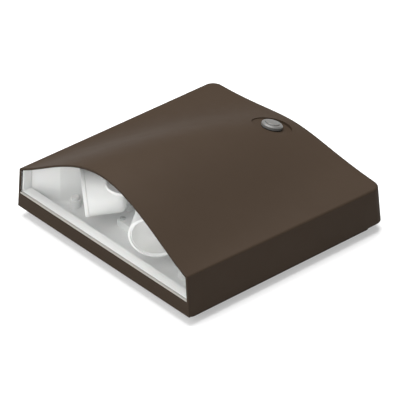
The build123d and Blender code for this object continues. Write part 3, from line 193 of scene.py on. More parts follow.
def moulded_plastic(name, color, roughness, grain_size):
    """Injection-moulded plastic with the fine spark texture of its mould.

    It is satin, slightly warm and evenly coloured, and a little light goes into it."""
    material, tree, shader = new_surface(
        name, color, roughness, ior=1.49, subsurface_weight=0.04, subsurface_scale=0.8 * MM
    )
    tint(tree, shader, [c * 0.975 for c in color], color, noise(tree, 0.03, detail=1.0))
    vary_roughness(tree, shader, roughness - 0.04, roughness + 0.06, noise(tree, 0.01))
    raise_bumps(tree, shader, noise(tree, grain_size), 0.01 * MM, 0.35)
    return material


def metallised_plastic():
    """Satin moulding with aluminium vapour laid on it and lacquered.

    It spreads the light as frosted glass does, because the mould was blasted, not polished."""
    material, tree, shader = new_surface(
        "metallised plastic", linear("#f3f3f2"), 0.5, metallic=1.0
    )
    vary_roughness(tree, shader, 0.44, 0.56, noise(tree, 0.006))
    raise_bumps(tree, shader, noise(tree, 0.004), 0.02 * MM, 0.3)
    return material


def clear_polycarbonate():
    """Clear polycarbonate pane, extruded and polished.

    Almost all light goes through; it shows by its reflections and a trace of haze."""
    material, tree, shader = new_surface(
        "clear polycarbonate", linear("#f2f6f6"), 0.06, ior=1.58, alpha=0.07
    )
    vary_roughness(tree, shader, 0.04, 0.1, noise(tree, 0.03))
    return material


def silicone_rubber(name, color):
    """Moulded silicone seal: matt, soft and slightly see-through at its edge."""
    material, tree, shader = new_surface(name, color, 0.6, ior=1.42, subsurface_weight=0.08)
    shader.inputs["Subsurface Scale"].default_value = 1.0 * MM
    tint(tree, shader, [c * 0.9 for c in color], color, noise(tree, 0.006))
    raise_bumps(tree, shader, noise(tree, 0.8 * MM), 0.02 * MM, 0.5)
    return material


def closed_cell_foam():
    """Black neoprene foam, cut from sheet, whose cut cells show as fine pits, each painted darker
    inside as painted shade.

    The cells are drawn about 0.6 mm across, coarser than the real ones, so that they show."""
    color = linear("#1d1d1e")
    material, tree, shader = new_surface("closed-cell foam", color, 0.9, ior=1.45)
    coords = add_node(tree, "ShaderNodeTexCoord")
    cells = add_node(
        tree,
        "ShaderNodeTexVoronoi",
        {"Vector": coords.outputs["Object"], "Scale": 1 / (0.6 * MM)},
    )
    # The pits are painted down to 0.6 of the foam's tone: painted shade in each pit, on top of the
    # bumps that sink them.
    tint(tree, shader, [c * 0.6 for c in color], color, cells.outputs["Distance"])
    raise_bumps(tree, shader, cells.outputs["Distance"], 0.15 * MM, 0.6)
    return material


def zinc_plate():
    """Steel with bright zinc plating: a cool, slightly cloudy metal."""
    material, tree, shader = new_surface("zinc-plated steel", linear("#b9bbbd"), 0.3, metallic=1.0)
    tint(tree, shader, linear("#a7a9ab"), linear("#c6c7c6"), noise(tree, 0.003))
    vary_roughness(tree, shader, 0.24, 0.42, noise(tree, 0.0015))
    raise_bumps(tree, shader, noise(tree, 0.5 * MM), 0.01 * MM, 0.3)
    return material


def rolled_nickel():
    """Nickel-plated deep-drawn can: bright, with faint draw marks along it."""
    material, tree, shader = new_surface("nickel-plated can", linear("#c9c6bd"), 0.25, metallic=1.0)
    marks = noise(tree, 0.0008, stretch=(1.0, 0.04, 1.0))
    vary_roughness(tree, shader, 0.2, 0.34, marks)
    raise_bumps(tree, shader, marks, 0.01 * MM, 0.2)
    return material


def shrink_sleeve():
    """Blue PVC sleeve shrunk on with hot air: glossy, with slight ripples across."""
    color = linear("#2b4f86")
    material, tree, shader = new_surface("shrink sleeve", color, 0.28, ior=1.53)
    tint(tree, shader, [c * 0.85 for c in color], color, noise(tree, 0.012))
    raise_bumps(tree, shader, noise(tree, 0.005, stretch=(1.0, 3.0, 1.0)), 0.12 * MM, 0.5)
    return material


def solder_mask():
    """Green solder mask over glass cloth and copper tracks.

    The tracks show as slightly lighter, raised lines about 1.2 mm apart."""
    base, track = linear("#14532f"), linear("#1f7340")
    material, tree, shader = new_surface("solder mask", base, 0.3, ior=1.5)
    coords = add_node(tree, "ShaderNodeTexCoord")
    tracks = add_node(
        tree,
        "ShaderNodeTexBrick",
        {
            "Vector": coords.outputs["Object"],
            "Scale": 1.0,
            "Color1": (1.0, 1.0, 1.0, 1.0),
            "Color2": (0.8, 0.8, 0.8, 1.0),
            "Mortar": (0.0, 0.0, 0.0, 1.0),
            "Mortar Size": 0.35 * MM,
            "Brick Width": 9 * MM,
            "Row Height": 2.4 * MM,
        },
    )
    tint(tree, shader, base, track, tracks.outputs["Color"])
    raise_bumps(tree, shader, tracks.outputs["Color"], 0.04 * MM, 0.5)
    return material


def extruded_aluminium():
    """Plain extruded aluminium, with die lines along the extrusion."""
    material, tree, shader = new_surface(
        "extruded aluminium", linear("#b4b7ba"), 0.35, metallic=1.0
    )
    lines = noise(tree, 0.0006, stretch=(1.0, 0.02, 1.0))
    vary_roughness(tree, shader, 0.3, 0.48, lines)
    raise_bumps(tree, shader, lines, 0.02 * MM, 0.3)
    return material


def steel_laminations():
    """Stack of varnished steel sheets, 0.5 mm thick, whose edges show as dark lines."""
    material, tree, shader = new_surface("steel laminations", linear("#3d3f43"), 0.45, metallic=0.7)
    coords = add_node(tree, "ShaderNodeTexCoord")
    sheets = add_node(
        tree,
        "ShaderNodeTexWave",
        {"Vector": coords.outputs["Object"], "Scale": 0.314 / (0.5 * MM), "Distortion": 0.3},
        wave_type="BANDS",
        bands_direction="Y",
    )
    tint(tree, shader, linear("#26272a"), linear("#565a60"), sheets.outputs["Fac"])
    raise_bumps(tree, shader, sheets.outputs["Fac"], 0.05 * MM, 0.5)
    return material


def enamelled_copper():
    """Copper wire with a clear reddish enamel."""
    material, tree, shader = new_surface(
        "enamelled copper", linear("#a5562c"), 0.28, metallic=0.9, coat_weight=0.6
    )
    tint(tree, shader, linear("#8c4423"), linear("#bb6a38"), noise(tree, 0.003))
    vary_roughness(tree, shader, 0.22, 0.36, noise(tree, 0.001))
    return material


def phosphor_dome(name, color):
    """Silicone dome over an LED chip: glossy, thick-looking and tinted."""
    material, tree, shader = new_surface(
        name, color, 0.15, ior=1.41, subsurface_weight=0.3, subsurface_scale=1.0 * MM
    )
    tint(tree, shader, [c * 0.85 for c in color], color, noise(tree, 0.0015))
    return material


def fuse_tube():
    """Clear drawn glass tube."""
    material, tree, shader = new_surface("fuse glass", linear("#dfe6e4"), 0.05, ior=1.52, alpha=0.4)
    vary_roughness(tree, shader, 0.03, 0.08, noise(tree, 0.002))
    return material


def film_resistor():
    """Metal-film resistor dipped in beige lacquer: smooth, with a soft shine."""
    material, tree, shader = new_surface("resistor lacquer", linear("#c9ae7c"), 0.35, ior=1.5)
    tint(tree, shader, linear("#b99b68"), linear("#d2b988"), noise(tree, 0.002))
    return material


def light_table(glow):
    """Matt white acrylic, lit a little from below, so that shadows on it stay faint."""
    material, tree, shader = new_surface(
        "white acrylic", linear("#c6c6c6"), 0.9, emission_strength=glow
    )
    tint(tree, shader, linear("#c5c5c5"), linear("#c7c7c7"), noise(tree, 0.3))
    return material


finishes = {}


def finish(name, settings=None):
    """The finish of that name, made the first time it is asked for."""
    makers = {
        "powder": lambda: powder_coat(settings),
        "white": lambda: moulded_plastic("moulded white", linear("#e8e8e6"), 0.42, 0.5 * MM),
        "lamp": lambda: moulded_plastic("moulded light grey", linear("#f2f2f0"), 0.38, 0.4 * MM),
        "button": lambda: moulded_plastic("moulded button grey", linear("#636260"), 0.4, 0.4 * MM),
        "nylon": lambda: moulded_plastic("natural nylon", linear("#dcd9cb"), 0.5, 0.5 * MM),
        "black": lambda: moulded_plastic("moulded black", linear("#232324"), 0.4, 0.5 * MM),
        "mirror": metallised_plastic,
        "clear": clear_polycarbonate,
        "seal": lambda: silicone_rubber("light grey silicone", linear("#aeaaa3")),
        "foam": closed_cell_foam,
        "zinc": zinc_plate,
        "nickel": rolled_nickel,
        "sleeve": shrink_sleeve,
        "mask": solder_mask,
        "sink": extruded_aluminium,
        "core": steel_laminations,
        "copper": enamelled_copper,
        "phosphor": lambda: phosphor_dome("phosphor dome", linear("#f3e3a2")),
        "green": lambda: phosphor_dome("green dome", linear("#4fae56")),
        "glass": fuse_tube,
        "resistor": film_resistor,
        "floor": lambda: light_table(settings.table_glow),
    }
    if name not in finishes:
        finishes[name] = makers[name]()
    return finishes[name]


# ---------------------------------------------------------------- pieces
def merged_copy(node):
    """A node's mesh with its loose triangles joined and its flat faces whole."""
    builder = bmesh.new()
    builder.from_mesh(nodes[node].data)
    bmesh.ops.remove_doubles(builder, verts=builder.verts, dist=MERGE_DISTANCE)
    bmesh.ops.dissolve_limit(
        builder, angle_limit=FLAT_ANGLE, verts=builder.verts, edges=builder.edges
    )
    return builder


def new_piece(name, mesh, material, body):
    """A finished piece that rides on a body."""
    mesh.materials.clear()
    mesh.materials.append(material)
    piece = bpy.data.objects.new(name, mesh)
    bpy.context.scene.collection.objects.link(piece)
    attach(piece, body)
    return piece


def dress(node, material, edge=0.3 * MM, segments=2, sharp=SHARP_ANGLE):
    """A copy of a node with softened edges and smooth faces, which stands for it."""
    builder = merged_copy(node)
    mesh = bpy.data.meshes.new(node + "_dressed")
    builder.to_mesh(mesh)
    builder.free()
    if "custom_normal" in mesh.attributes:
        mesh.attributes.remove(mesh.attributes["custom_normal"])
    mesh.shade_smooth()
    mesh.set_sharp_from_angle(angle=sharp)
    piece = new_piece(node + "_dressed", mesh, material, body_of(node))
    if edge:
        bevel = piece.modifiers.new("soft edges", "BEVEL")
        bevel.width = edge
        bevel.segments = segments
        bevel.limit_method = "ANGLE"
        bevel.angle_limit = sharp
        bevel.harden_normals = True
    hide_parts(node)
    return piece


def dress_all(names, material, edge=0.3 * MM):
    """Dresses several nodes alike."""
    for name in names:
        dress(name, material, edge)


def solids_of(node):
    """The corners of each separate solid of a node, from left to right and front to back."""
    builder = merged_copy(node)
    builder.verts.ensure_lookup_table()
    seen = set()
    groups = []
    for start in builder.verts:
        if start.index in seen:
            continue
        seen.add(start.index)
        stack = [start]
        group = []
        while stack:
            vertex = stack.pop()
            group.append(vertex.co.copy())
            for edge in vertex.link_edges:
                other = edge.other_vert(vertex)
                if other.index not in seen:
                    seen.add(other.index)
                    stack.append(other)
        groups.append(group)
    builder.free()
    centre = lambda group: sum(group, Vector()) / len(group)
    return sorted(groups, key=lambda g: (round(centre(g).x, 5), round(centre(g).y, 5), centre(g).z))


def turning_to(axis):
    """The turn that takes +Z to that axis."""
    return Vector((0, 0, 1)).rotation_difference(Vector(axis)).to_matrix().to_4x4()


def turned(profile, steps=32):
    """A solid of revolution about Z from (radius, height) pairs that start and end on the axis."""
    builder = bmesh.new()
    rings = []
    for radius, height in profile:
        if radius == 0:
            rings.append([builder.verts.new((0, 0, height))])
            continue
        angles = [2 * pi * step / steps for step in range(steps)]
        rings.append(
            [builder.verts.new((radius * cos(a), radius * sin(a), height)) for a in angles]
        )
    for lower, upper in zip(rings, rings[1:]):
        for step in range(steps):
            after = (step + 1) % steps
            corners = [lower[step % len(lower)], lower[after % len(lower)]]
            corners += [upper[after % len(upper)], upper[step % len(upper)]]
            distinct = list(dict.fromkeys(corners))
            builder.faces.new(distinct)
    bmesh.ops.recalc_face_normals(builder, faces=builder.faces)
    return builder


def mesh_from(builder, name):
    """Closes the builder into a mesh."""
    mesh = bpy.data.meshes.new(name)
    builder.to_mesh(mesh)
    builder.free()
    return mesh


def scratch_object(name, mesh):
    """An object that only serves to make another."""
    scratch = bpy.data.objects.new(name, mesh)
    bpy.context.scene.collection.objects.link(scratch)
    return scratch


def evaluated_mesh(carrier):
    """The carrier's mesh with its modifiers worked in. The carrier is then removed."""
    bpy.context.view_layer.update()
    depsgraph = bpy.context.evaluated_depsgraph_get()
    mesh = bpy.data.meshes.new_from_object(carrier.evaluated_get(depsgraph))
    carrier.modifiers.clear()
    bpy.data.objects.remove(carrier)
    return mesh


# ---------------------------------------------------------------- geometry node trees
def new_tree(name, sockets):
    """A geometry tree with named inputs. Returns it with its group input and output."""
    tree = bpy.data.node_groups.new(name, "GeometryNodeTree")
    tree.interface.new_socket("Geometry", in_out="INPUT", socket_type="NodeSocketGeometry")
    for socket_name, kind in sockets:
        tree.interface.new_socket(socket_name, in_out="INPUT", socket_type=kind)
    tree.interface.new_socket("Geometry", in_out="OUTPUT", socket_type="NodeSocketGeometry")
    return tree, add_node(tree, "NodeGroupInput"), add_node(tree, "NodeGroupOutput")


def close_tree(tree, group_in, group_out, geometry):
    """Ends a tree in Realize Instances and Set Material."""
    real = add_node(tree, "GeometryNodeRealizeInstances", {"Geometry": geometry})
    painted = add_node(
        tree,
        "GeometryNodeSetMaterial",
        {"Geometry": real.outputs["Geometry"], "Material": group_in.outputs["Material"]},
    )
    tree.links.new(painted.outputs["Geometry"], group_out.inputs["Geometry"])


def run_tree(name, tree, values, mesh=None):
    """The mesh that a tree makes from a start mesh and its inputs, given by name."""
    carrier = scratch_object(name, mesh or bpy.data.meshes.new(name))
    modifier = carrier.modifiers.new(name, "NODES")
    modifier.node_group = tree
    for socket in tree.interface.items_tree:
        if socket.in_out == "INPUT" and socket.name in values:
            modifier[socket.identifier] = values[socket.name]
    return evaluated_mesh(carrier)


def repeat_tree():
    """Copies of an object on points, each turned about Z by a random angle."""
    tree, group_in, group_out = new_tree(
        "copies on points",
        [
            ("Original", "NodeSocketObject"),
            ("Turn", "NodeSocketFloat"),
            ("Seed", "NodeSocketInt"),
            ("Material", "NodeSocketMaterial"),
        ],
    )
    original = add_node(
        tree, "GeometryNodeObjectInfo", {"Object": group_in.outputs["Original"]}
    )
    angle = add_node(
        tree,
        "FunctionNodeRandomValue",
        {"Max": group_in.outputs["Turn"], "Seed": group_in.outputs["Seed"]},
        data_type="FLOAT",
    )
    turn = add_node(tree, "ShaderNodeCombineXYZ", {"Z": angle.outputs["Value"]})
    copies = add_node(
        tree,
        "GeometryNodeInstanceOnPoints",
        {
            "Points": group_in.outputs["Geometry"],
            "Instance": original.outputs["Geometry"],
            "Rotation": turn.outputs["Vector"],
        },
    )
    close_tree(tree, group_in, group_out, copies.outputs["Instances"])
    return tree


def winding_tree():
    """Turns of wire round a rectangular former, stacked along Z."""
    tree, group_in, group_out = new_tree(
        "winding",
        [
            ("Width", "NodeSocketFloat"),
            ("Length", "NodeSocketFloat"),
            ("Corner Radius", "NodeSocketFloat"),
            ("Wire Radius", "NodeSocketFloat"),
            ("Turns", "NodeSocketInt"),
            ("Pitch", "NodeSocketFloat"),
            ("Material", "NodeSocketMaterial"),
        ],
    )
    outline = add_node(
        tree,
        "GeometryNodeCurvePrimitiveQuadrilateral",
        {"Width": group_in.outputs["Width"], "Height": group_in.outputs["Length"]},
        mode="RECTANGLE",
    )
    rounded = add_node(
        tree,
        "GeometryNodeFilletCurve",
        {"Curve": outline.outputs["Curve"], "Radius": group_in.outputs["Corner Radius"], "Count": 6},
        mode="POLY",
    )
    section = add_node(
        tree,
        "GeometryNodeCurvePrimitiveCircle",
        {"Resolution": 8, "Radius": group_in.outputs["Wire Radius"]},
        mode="RADIUS",
    )
    wire = add_node(
        tree,
        "GeometryNodeCurveToMesh",
        {"Curve": rounded.outputs["Curve"], "Profile Curve": section.outputs["Curve"]},
    )
    step = add_node(tree, "ShaderNodeCombineXYZ", {"Z": group_in.outputs["Pitch"]})
    stack = add_node(
        tree,
        "GeometryNodeMeshLine",
        {"Count": group_in.outputs["Turns"], "Offset": step.outputs["Vector"]},
        mode="OFFSET",
    )
    turns = add_node(
        tree,
        "GeometryNodeInstanceOnPoints",
        {"Points": stack.outputs["Mesh"], "Instance": wire.outputs["Mesh"]},
    )
    filled = add_node(
        tree, "GeometryNodeFillCurve", {"Curve": rounded.outputs["Curve"]}, mode="NGONS"
    )
    last = add_node(
        tree, "ShaderNodeMath", {0: group_in.outputs["Turns"], 1: 1.0}, operation="SUBTRACT"
    )
    height = add_node(
        tree,
        "ShaderNodeMath",
        {0: last.outputs["Value"], 1: group_in.outputs["Pitch"]},
        operation="MULTIPLY",
    )
    former = add_node(
        tree,
        "GeometryNodeExtrudeMesh",
        {"Mesh": filled.outputs["Mesh"], "Offset Scale": height.outputs["Value"]},
        mode="FACES",
    )
    both = add_node(tree, "GeometryNodeJoinGeometry")
    tree.links.new(turns.outputs["Instances"], both.inputs["Geometry"])
    tree.links.new(former.outputs["Mesh"], both.inputs["Geometry"])
    close_tree(tree, group_in, group_out, both.outputs["Geometry"])
    return tree


def coil_tree():
    """A coil spring along Z, made of round wire."""
    tree, group_in, group_out = new_tree(
        "coil spring",
        [
            ("Radius", "NodeSocketFloat"),
            ("Height", "NodeSocketFloat"),
            ("Rotations", "NodeSocketFloat"),
            ("Wire Radius", "NodeSocketFloat"),
            ("Material", "NodeSocketMaterial"),
        ],
    )
    spiral = add_node(
        tree,
        "GeometryNodeCurveSpiral",
        {
            "Resolution": 40,
            "Rotations": group_in.outputs["Rotations"],
            "Start Radius": group_in.outputs["Radius"],
            "End Radius": group_in.outputs["Radius"],
            "Height": group_in.outputs["Height"],
        },
    )
    section = add_node(
        tree,
        "GeometryNodeCurvePrimitiveCircle",
        {"Resolution": 12, "Radius": group_in.outputs["Wire Radius"]},
        mode="RADIUS",
    )
    wire = add_node(
        tree,
        "GeometryNodeCurveToMesh",
        {
            "Curve": spiral.outputs["Curve"],
            "Profile Curve": section.outputs["Curve"],
            "Fill Caps": True,
        },
    )
    close_tree(tree, group_in, group_out, wire.outputs["Mesh"])
    return tree


# ---------------------------------------------------------------- screws
def screw_builder(head_radius, head_height, shank_radius, shank_length):
    """A pan-head screw with its head's seat at the origin and its head up, without its crossed recess.
    """
    dome = [
        (head_radius * cos(radians(a)), head_height * (0.35 + 0.65 * sin(radians(a))))
        for a in range(0, 90, 15)
    ]
    profile = [(0, -shank_length), (shank_radius, -shank_length), (shank_radius, 0)]
    profile += [(head_radius * 0.97, 0), (head_radius, head_height * 0.08)]
    profile += [*dome, (0, head_height)]
    return turned(profile)


def cross_cutter(head_radius, head_height):
    """The crossed recess of a screw head."""
    builder = bmesh.new()
    for length, width in ((1.15, 0.28), (0.28, 1.15)):
        size = Vector((head_radius * length, head_radius * width, head_height * 1.4))
        place = Vector((0, 0, head_height * 1.1))
        bmesh.ops.create_cube(builder, size=1.0, matrix=Matrix.LocRotScale(place, None, size))
    return builder


def resistor_builder():
    """A resistor lying along X above the origin, with its leads bent down into the board.

    Its profile is given as radius and distance from the middle, from a lead's end inwards."""
    reach = 3.7 * MM
    lead = 0.3 * MM
    height = 1.3 * MM
    root = 0.3 * MM
    cap = [(0.9, 3.0), (1.15, 2.6), (1.15, 2.1), (0.95, 1.6)]
    half = [(0, reach), (lead, reach), (lead, 3.05 * MM)] + [(r * MM, x * MM) for r, x in cap]
    profile = [(r, -x) for r, x in half] + [(r, x) for r, x in reversed(half)]
    builder = turned(profile, 20)
    builder.transform(Matrix.Translation((0, 0, height)) @ turning_to((1, 0, 0)))
    for x in (-reach, reach):
        bmesh.ops.create_cone(
            builder, cap_ends=True, segments=12, radius1=lead, radius2=lead,
            depth=height + lead + root,
            matrix=Matrix.Translation((x, 0, (height + lead - root) / 2)),
        )
    return builder


def make_screws(node, axis, settings, share_of_head):
    """Screws in the places of a node's solids, along an axis out of their heads."""
    turn = turning_to(axis)
    back = turn.inverted()
    groups = [[back @ corner for corner in group] for group in solids_of(node)]
    first = groups[0]
    top = max(corner.z for corner in first)
    bottom = min(corner.z for corner in first)
    low = Vector((min(corner.x for corner in first), min(corner.y for corner in first)))
    high = Vector((max(corner.x for corner in first), max(corner.y for corner in first)))
    head_radius = (high.x - low.x) / 2
    head_height = min((top - bottom) * share_of_head, settings.head_height_limit)
    tip = [corner for corner in first if corner.z < bottom + (top - bottom) * 0.1]
    shank_radius = max((corner.xy - (low + high) / 2).length for corner in tip)
    shank_length = top - head_height - bottom
    shape = screw_builder(head_radius, head_height, shank_radius, shank_length)
    base = scratch_object("screw", mesh_from(shape, "screw"))
    cutter = scratch_object("recess", mesh_from(cross_cutter(head_radius, head_height), "recess"))
    boolean = base.modifiers.new("recess", "BOOLEAN")
    boolean.object = cutter
    boolean.solver = "EXACT"
    boolean.use_self = True
    screw_mesh = evaluated_mesh(base)
    bpy.data.objects.remove(cutter)
    screw = scratch_object("one screw", screw_mesh)
    points = bmesh.new()
    for group in groups:
        xs = [corner.x for corner in group]
        ys = [corner.y for corner in group]
        head_top = max(corner.z for corner in group)
        points.verts.new(
            ((min(xs) + max(xs)) / 2, (min(ys) + max(ys)) / 2, head_top - head_height)
        )
    mesh = run_tree(
        node + " copies",
        repeat_tree(),
        {"Original": screw, "Turn": pi, "Seed": 3, "Material": finish("zinc")},
        mesh_from(points, node + "_points"),
    )
    bpy.data.objects.remove(screw)
    mesh.transform(turn)
    mesh.shade_smooth()
    mesh.set_sharp_from_angle(angle=SHARP_ANGLE)
    return mesh


# ---------------------------------------------------------------- settings
class StudioSettings(PropertyGroup):
    """Light and camera."""

    distance: FloatProperty(
        name="Camera distance", description="From the aim to the camera", default=8.9, unit="LENGTH"
    )
    azimuth: FloatProperty(
        name="Azimuth", description="Round the light, from -Y towards +X",
        default=radians(48.92), subtype="ANGLE", unit="ROTATION",
    )
    elevation: FloatProperty(
        name="Elevation", description="Above the floor",
        default=radians(34.19), subtype="ANGLE", unit="ROTATION",
    )
    aim: FloatVectorProperty(
        name="Aim", description="The place in the middle of the picture",
        default=(2.73 * MM, -4.48 * MM, 29.85 * MM), size=3, subtype="TRANSLATION", unit="LENGTH",
    )
    focal_length: FloatProperty(
        name="Focal length", description="In millimetres on a 36 mm sensor", default=784.6
    )
    top_power: FloatProperty(
        name="Top softbox", description="Power of the softbox overhead", default=60.0, unit="POWER"
    )
    window_power: FloatProperty(
        name="Window softbox", description="Power of the softbox before the window",
        default=17.0, unit="POWER",
    )
    fill: FloatProperty(name="Fill", description="Strength of the even light all round", default=0.22)
    table_glow: FloatProperty(
        name="Table glow", description="Strength of the light through the table", default=0.4
    )


class CoverSettings(PropertyGroup):
    """Paint and edges of the cover and the back housing."""

    paint_color: FloatVectorProperty(
        name="Paint", description="Colour of the powder coat", default=linear("#34291f"),
        size=3, subtype="COLOR", min=0.0, max=1.0,
    )
    paint_gloss: FloatProperty(
        name="Gloss", description="Specular level of the powder coat", default=0.14, min=0.0, max=1.0
    )
    peel_size: FloatProperty(
        name="Orange peel", description="Distance from crest to crest", default=1.1 * MM,
        unit="LENGTH", subtype="DISTANCE",
    )
    peel_depth: FloatProperty(
        name="Peel depth", description="Height of the crests", default=0.02 * MM,
        unit="LENGTH", subtype="DISTANCE",
    )
    edge: FloatProperty(
        name="Edge", description="Width of the softened edges", default=0.45 * MM,
        unit="LENGTH", subtype="DISTANCE",
    )


class WorksSettings(PropertyGroup):
    """Winding, spring, screws and small parts on the board."""

    winding_turns: IntProperty(
        name="Winding turns", description="Turns of wire that show on the coil", default=18, min=2
    )
    spring_wire: FloatProperty(
        name="Spring wire", description="Diameter of the button spring's wire", default=0.6 * MM,
        unit="LENGTH", subtype="DISTANCE",
    )
    spring_rotations: FloatProperty(
        name="Spring turns", description="Turns of the button spring", default=4.5
    )
    head_height_limit: FloatProperty(
        name="Screw head", description="Greatest height of a screw head", default=3.5 * MM,
        unit="LENGTH", subtype="DISTANCE",
    )
    resistor_rows: IntProperty(
        name="Resistor rows", description="Rows of small resistors on the charger board", default=4
    )


# ---------------------------------------------------------------- operators
class WALLPACK_OT_stage(Operator):
    """Sets the floor, the softboxes, the even light and the camera"""

    bl_idname = "wallpack.stage"
    bl_label = "Stage"

    def execute(self, context):
        studio = context.scene.wallpack_studio
        context.scene.view_settings.view_transform = "Standard"
        builder = bmesh.new()
        corners = [(-1, -1), (1, -1), (1, 1), (-1, 1)]
        builder.faces.new(
            [builder.verts.new((x * TABLE_HALF, y * TABLE_HALF, -0.1 * MM)) for x, y in corners]
        )
        floor = scratch_object("floor", mesh_from(builder, "floor"))
        floor.data.materials.append(finish("floor", studio))
        self.add_softbox("top softbox", (-0.3, 0.1, 1.7), 1.5, studio.top_power)
        self.add_softbox("window softbox", (0.1, -1.4, 1.1), 1.4, studio.window_power)
        world = bpy.data.worlds.new("even light")
        world.use_nodes = True
        background = world.node_tree.nodes["Background"]
        background.inputs["Color"].default_value = (1.0, 1.0, 1.0, 1.0)
        background.inputs["Strength"].default_value = studio.fill
        context.scene.world = world
        self.add_camera(context, studio)
        return {"FINISHED"}

    def add_softbox(self, name, place, size, power):
        data = bpy.data.lights.new(name, "AREA")
        data.size = size
        data.energy = power
        lamp = bpy.data.objects.new(name, data)
        bpy.context.scene.collection.objects.link(lamp)
        facing = Vector(place).to_track_quat("Z", "Y").to_matrix().to_4x4()
        lamp.matrix_world = Matrix.Translation(place) @ facing

    def add_camera(self, context, studio):
        data = bpy.data.cameras.new("camera")
        data.sensor_width = 36.0
        data.lens = studio.focal_length
        camera = bpy.data.objects.new("camera", data)
        context.scene.collection.objects.link(camera)
        a, e = studio.azimuth, studio.elevation
        back = Vector((sin(a) * cos(e), -cos(a) * cos(e), sin(e)))
        right = Vector((cos(a), sin(a), 0))
        turn = Matrix((right, back.cross(right), back)).transposed().to_4x4()
        camera.matrix_world = Matrix.Translation(Vector(studio.aim) + back * studio.distance) @ turn
        context.scene.camera = camera


class WALLPACK_OT_casing(Operator):
    """Finishes the front cover and the back housing with their seals"""

    bl_idname = "wallpack.casing"
    bl_label = "Casing"

    def execute(self, context):
        cover = context.scene.wallpack_cover
        paint = finish("powder", cover)
        dress("front_cover", paint, cover.edge, 3)
        dress("rear_housing", paint, cover.edge, 2)
        dress_all(["wall_gasket", "cover_gasket"], finish("foam"), 0.0)
        dress("hinge_pins", finish("zinc"), 0.15 * MM)
        return {"FINISHED"}


class WALLPACK_OT_window(Operator):
    """Finishes the clear window, its seal and the white collar behind it"""

    bl_idname = "wallpack.window"
    bl_label = "Window"

    def execute(self, context):
        dress("window_lens", finish("clear"), 0.15 * MM)
        dress("lens_gasket", finish("seal"), 0.2 * MM)
        dress("lens_frame", finish("white"), 0.3 * MM)
        return {"FINISHED"}


class WALLPACK_OT_button(Operator):
    """Finishes the test button, its bezel and spring, and the switch behind it"""

    bl_idname = "wallpack.button"
    bl_label = "Test button"

    def execute(self, context):
        works = context.scene.wallpack_works
        dress_all(["test_button", "button_bezel"], finish("button"), 0.35 * MM)
        dress("button_seal", finish("foam"), 0.15 * MM)
        dress("button_nut", finish("nylon"), 0.4 * MM)
        dress("switch_board", finish("mask"), 0.1 * MM)
        dress("test_switch", finish("black"), 0.2 * MM)
        dress("status_led", finish("green"), 0.0)
        wire = works.spring_wire / 2
        turn = turning_to(BUTTON_AXIS)
        along = [(turn.inverted() @ v.co).z for v in nodes["button_spring"].data.vertices]
        across = [(turn.inverted() @ v.co).x for v in nodes["button_spring"].data.vertices]
        height = max(along) - min(along) - 2 * wire
        radius = (max(across) - min(across)) / 2 - wire
        mesh = run_tree(
            "spring",
            coil_tree(),
            {
                "Radius": radius,
                "Height": height,
                "Rotations": works.spring_rotations,
                "Wire Radius": wire,
                "Material": finish("zinc"),
            },
        )
        start = turn.inverted() @ middle("test_button")
        mesh.transform(turn @ Matrix.Translation((start.x, start.y, min(along) + wire)))
        mesh.shade_smooth()
        spring = new_piece("coil_spring", mesh, finish("zinc"), "button")
        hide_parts("button_spring")
        return {"FINISHED"}


class WALLPACK_OT_compartment(Operator):
    """Finishes the white pan and the bracket that carries the lamp heads"""

    bl_idname = "wallpack.compartment"
    bl_label = "Lamp compartment"

    def execute(self, context):
        dress("reflector_pan", finish("white"), 0.3 * MM, sharp=PAN_SHARP_ANGLE)
        dress("lamp_bracket", finish("white"), 0.5 * MM)
        dress("swivel_pins", finish("zinc"), 0.2 * MM)
        dress("swivel_washers", finish("nylon"), 0.1 * MM)
        return {"FINISHED"}


class WALLPACK_OT_heads(Operator):
    """Finishes both lamp heads"""

    bl_idname = "wallpack.heads"
    bl_label = "Lamp heads"

    def execute(self, context):
        for hand in ("left", "right"):
            dress(f"{hand}_head_shell", finish("lamp"), 0.3 * MM)
            dress(f"{hand}_yoke", finish("lamp"), 0.3 * MM)
            dress(f"{hand}_lamp_ring", finish("lamp"), 0.15 * MM)
            dress(f"{hand}_lamp_mirror", finish("mirror"), 0.1 * MM)
            dress(f"{hand}_led_board", finish("sink"), 0.1 * MM)
            dress(f"{hand}_led_dome", finish("phosphor"), 0.0)
            dress(f"{hand}_tilt_screw", finish("zinc"), 0.15 * MM)
        return {"FINISHED"}


class WALLPACK_OT_battery(Operator):
    """Finishes the battery with its sleeve and clamps"""

    bl_idname = "wallpack.battery"
    bl_label = "Battery"

    def execute(self, context):
        dress("battery_cells", finish("nickel"), 0.3 * MM)
        dress("battery_wrap", finish("sleeve"), 0.1 * MM)
        dress("battery_clamps", finish("zinc"), 0.15 * MM)
        return {"FINISHED"}


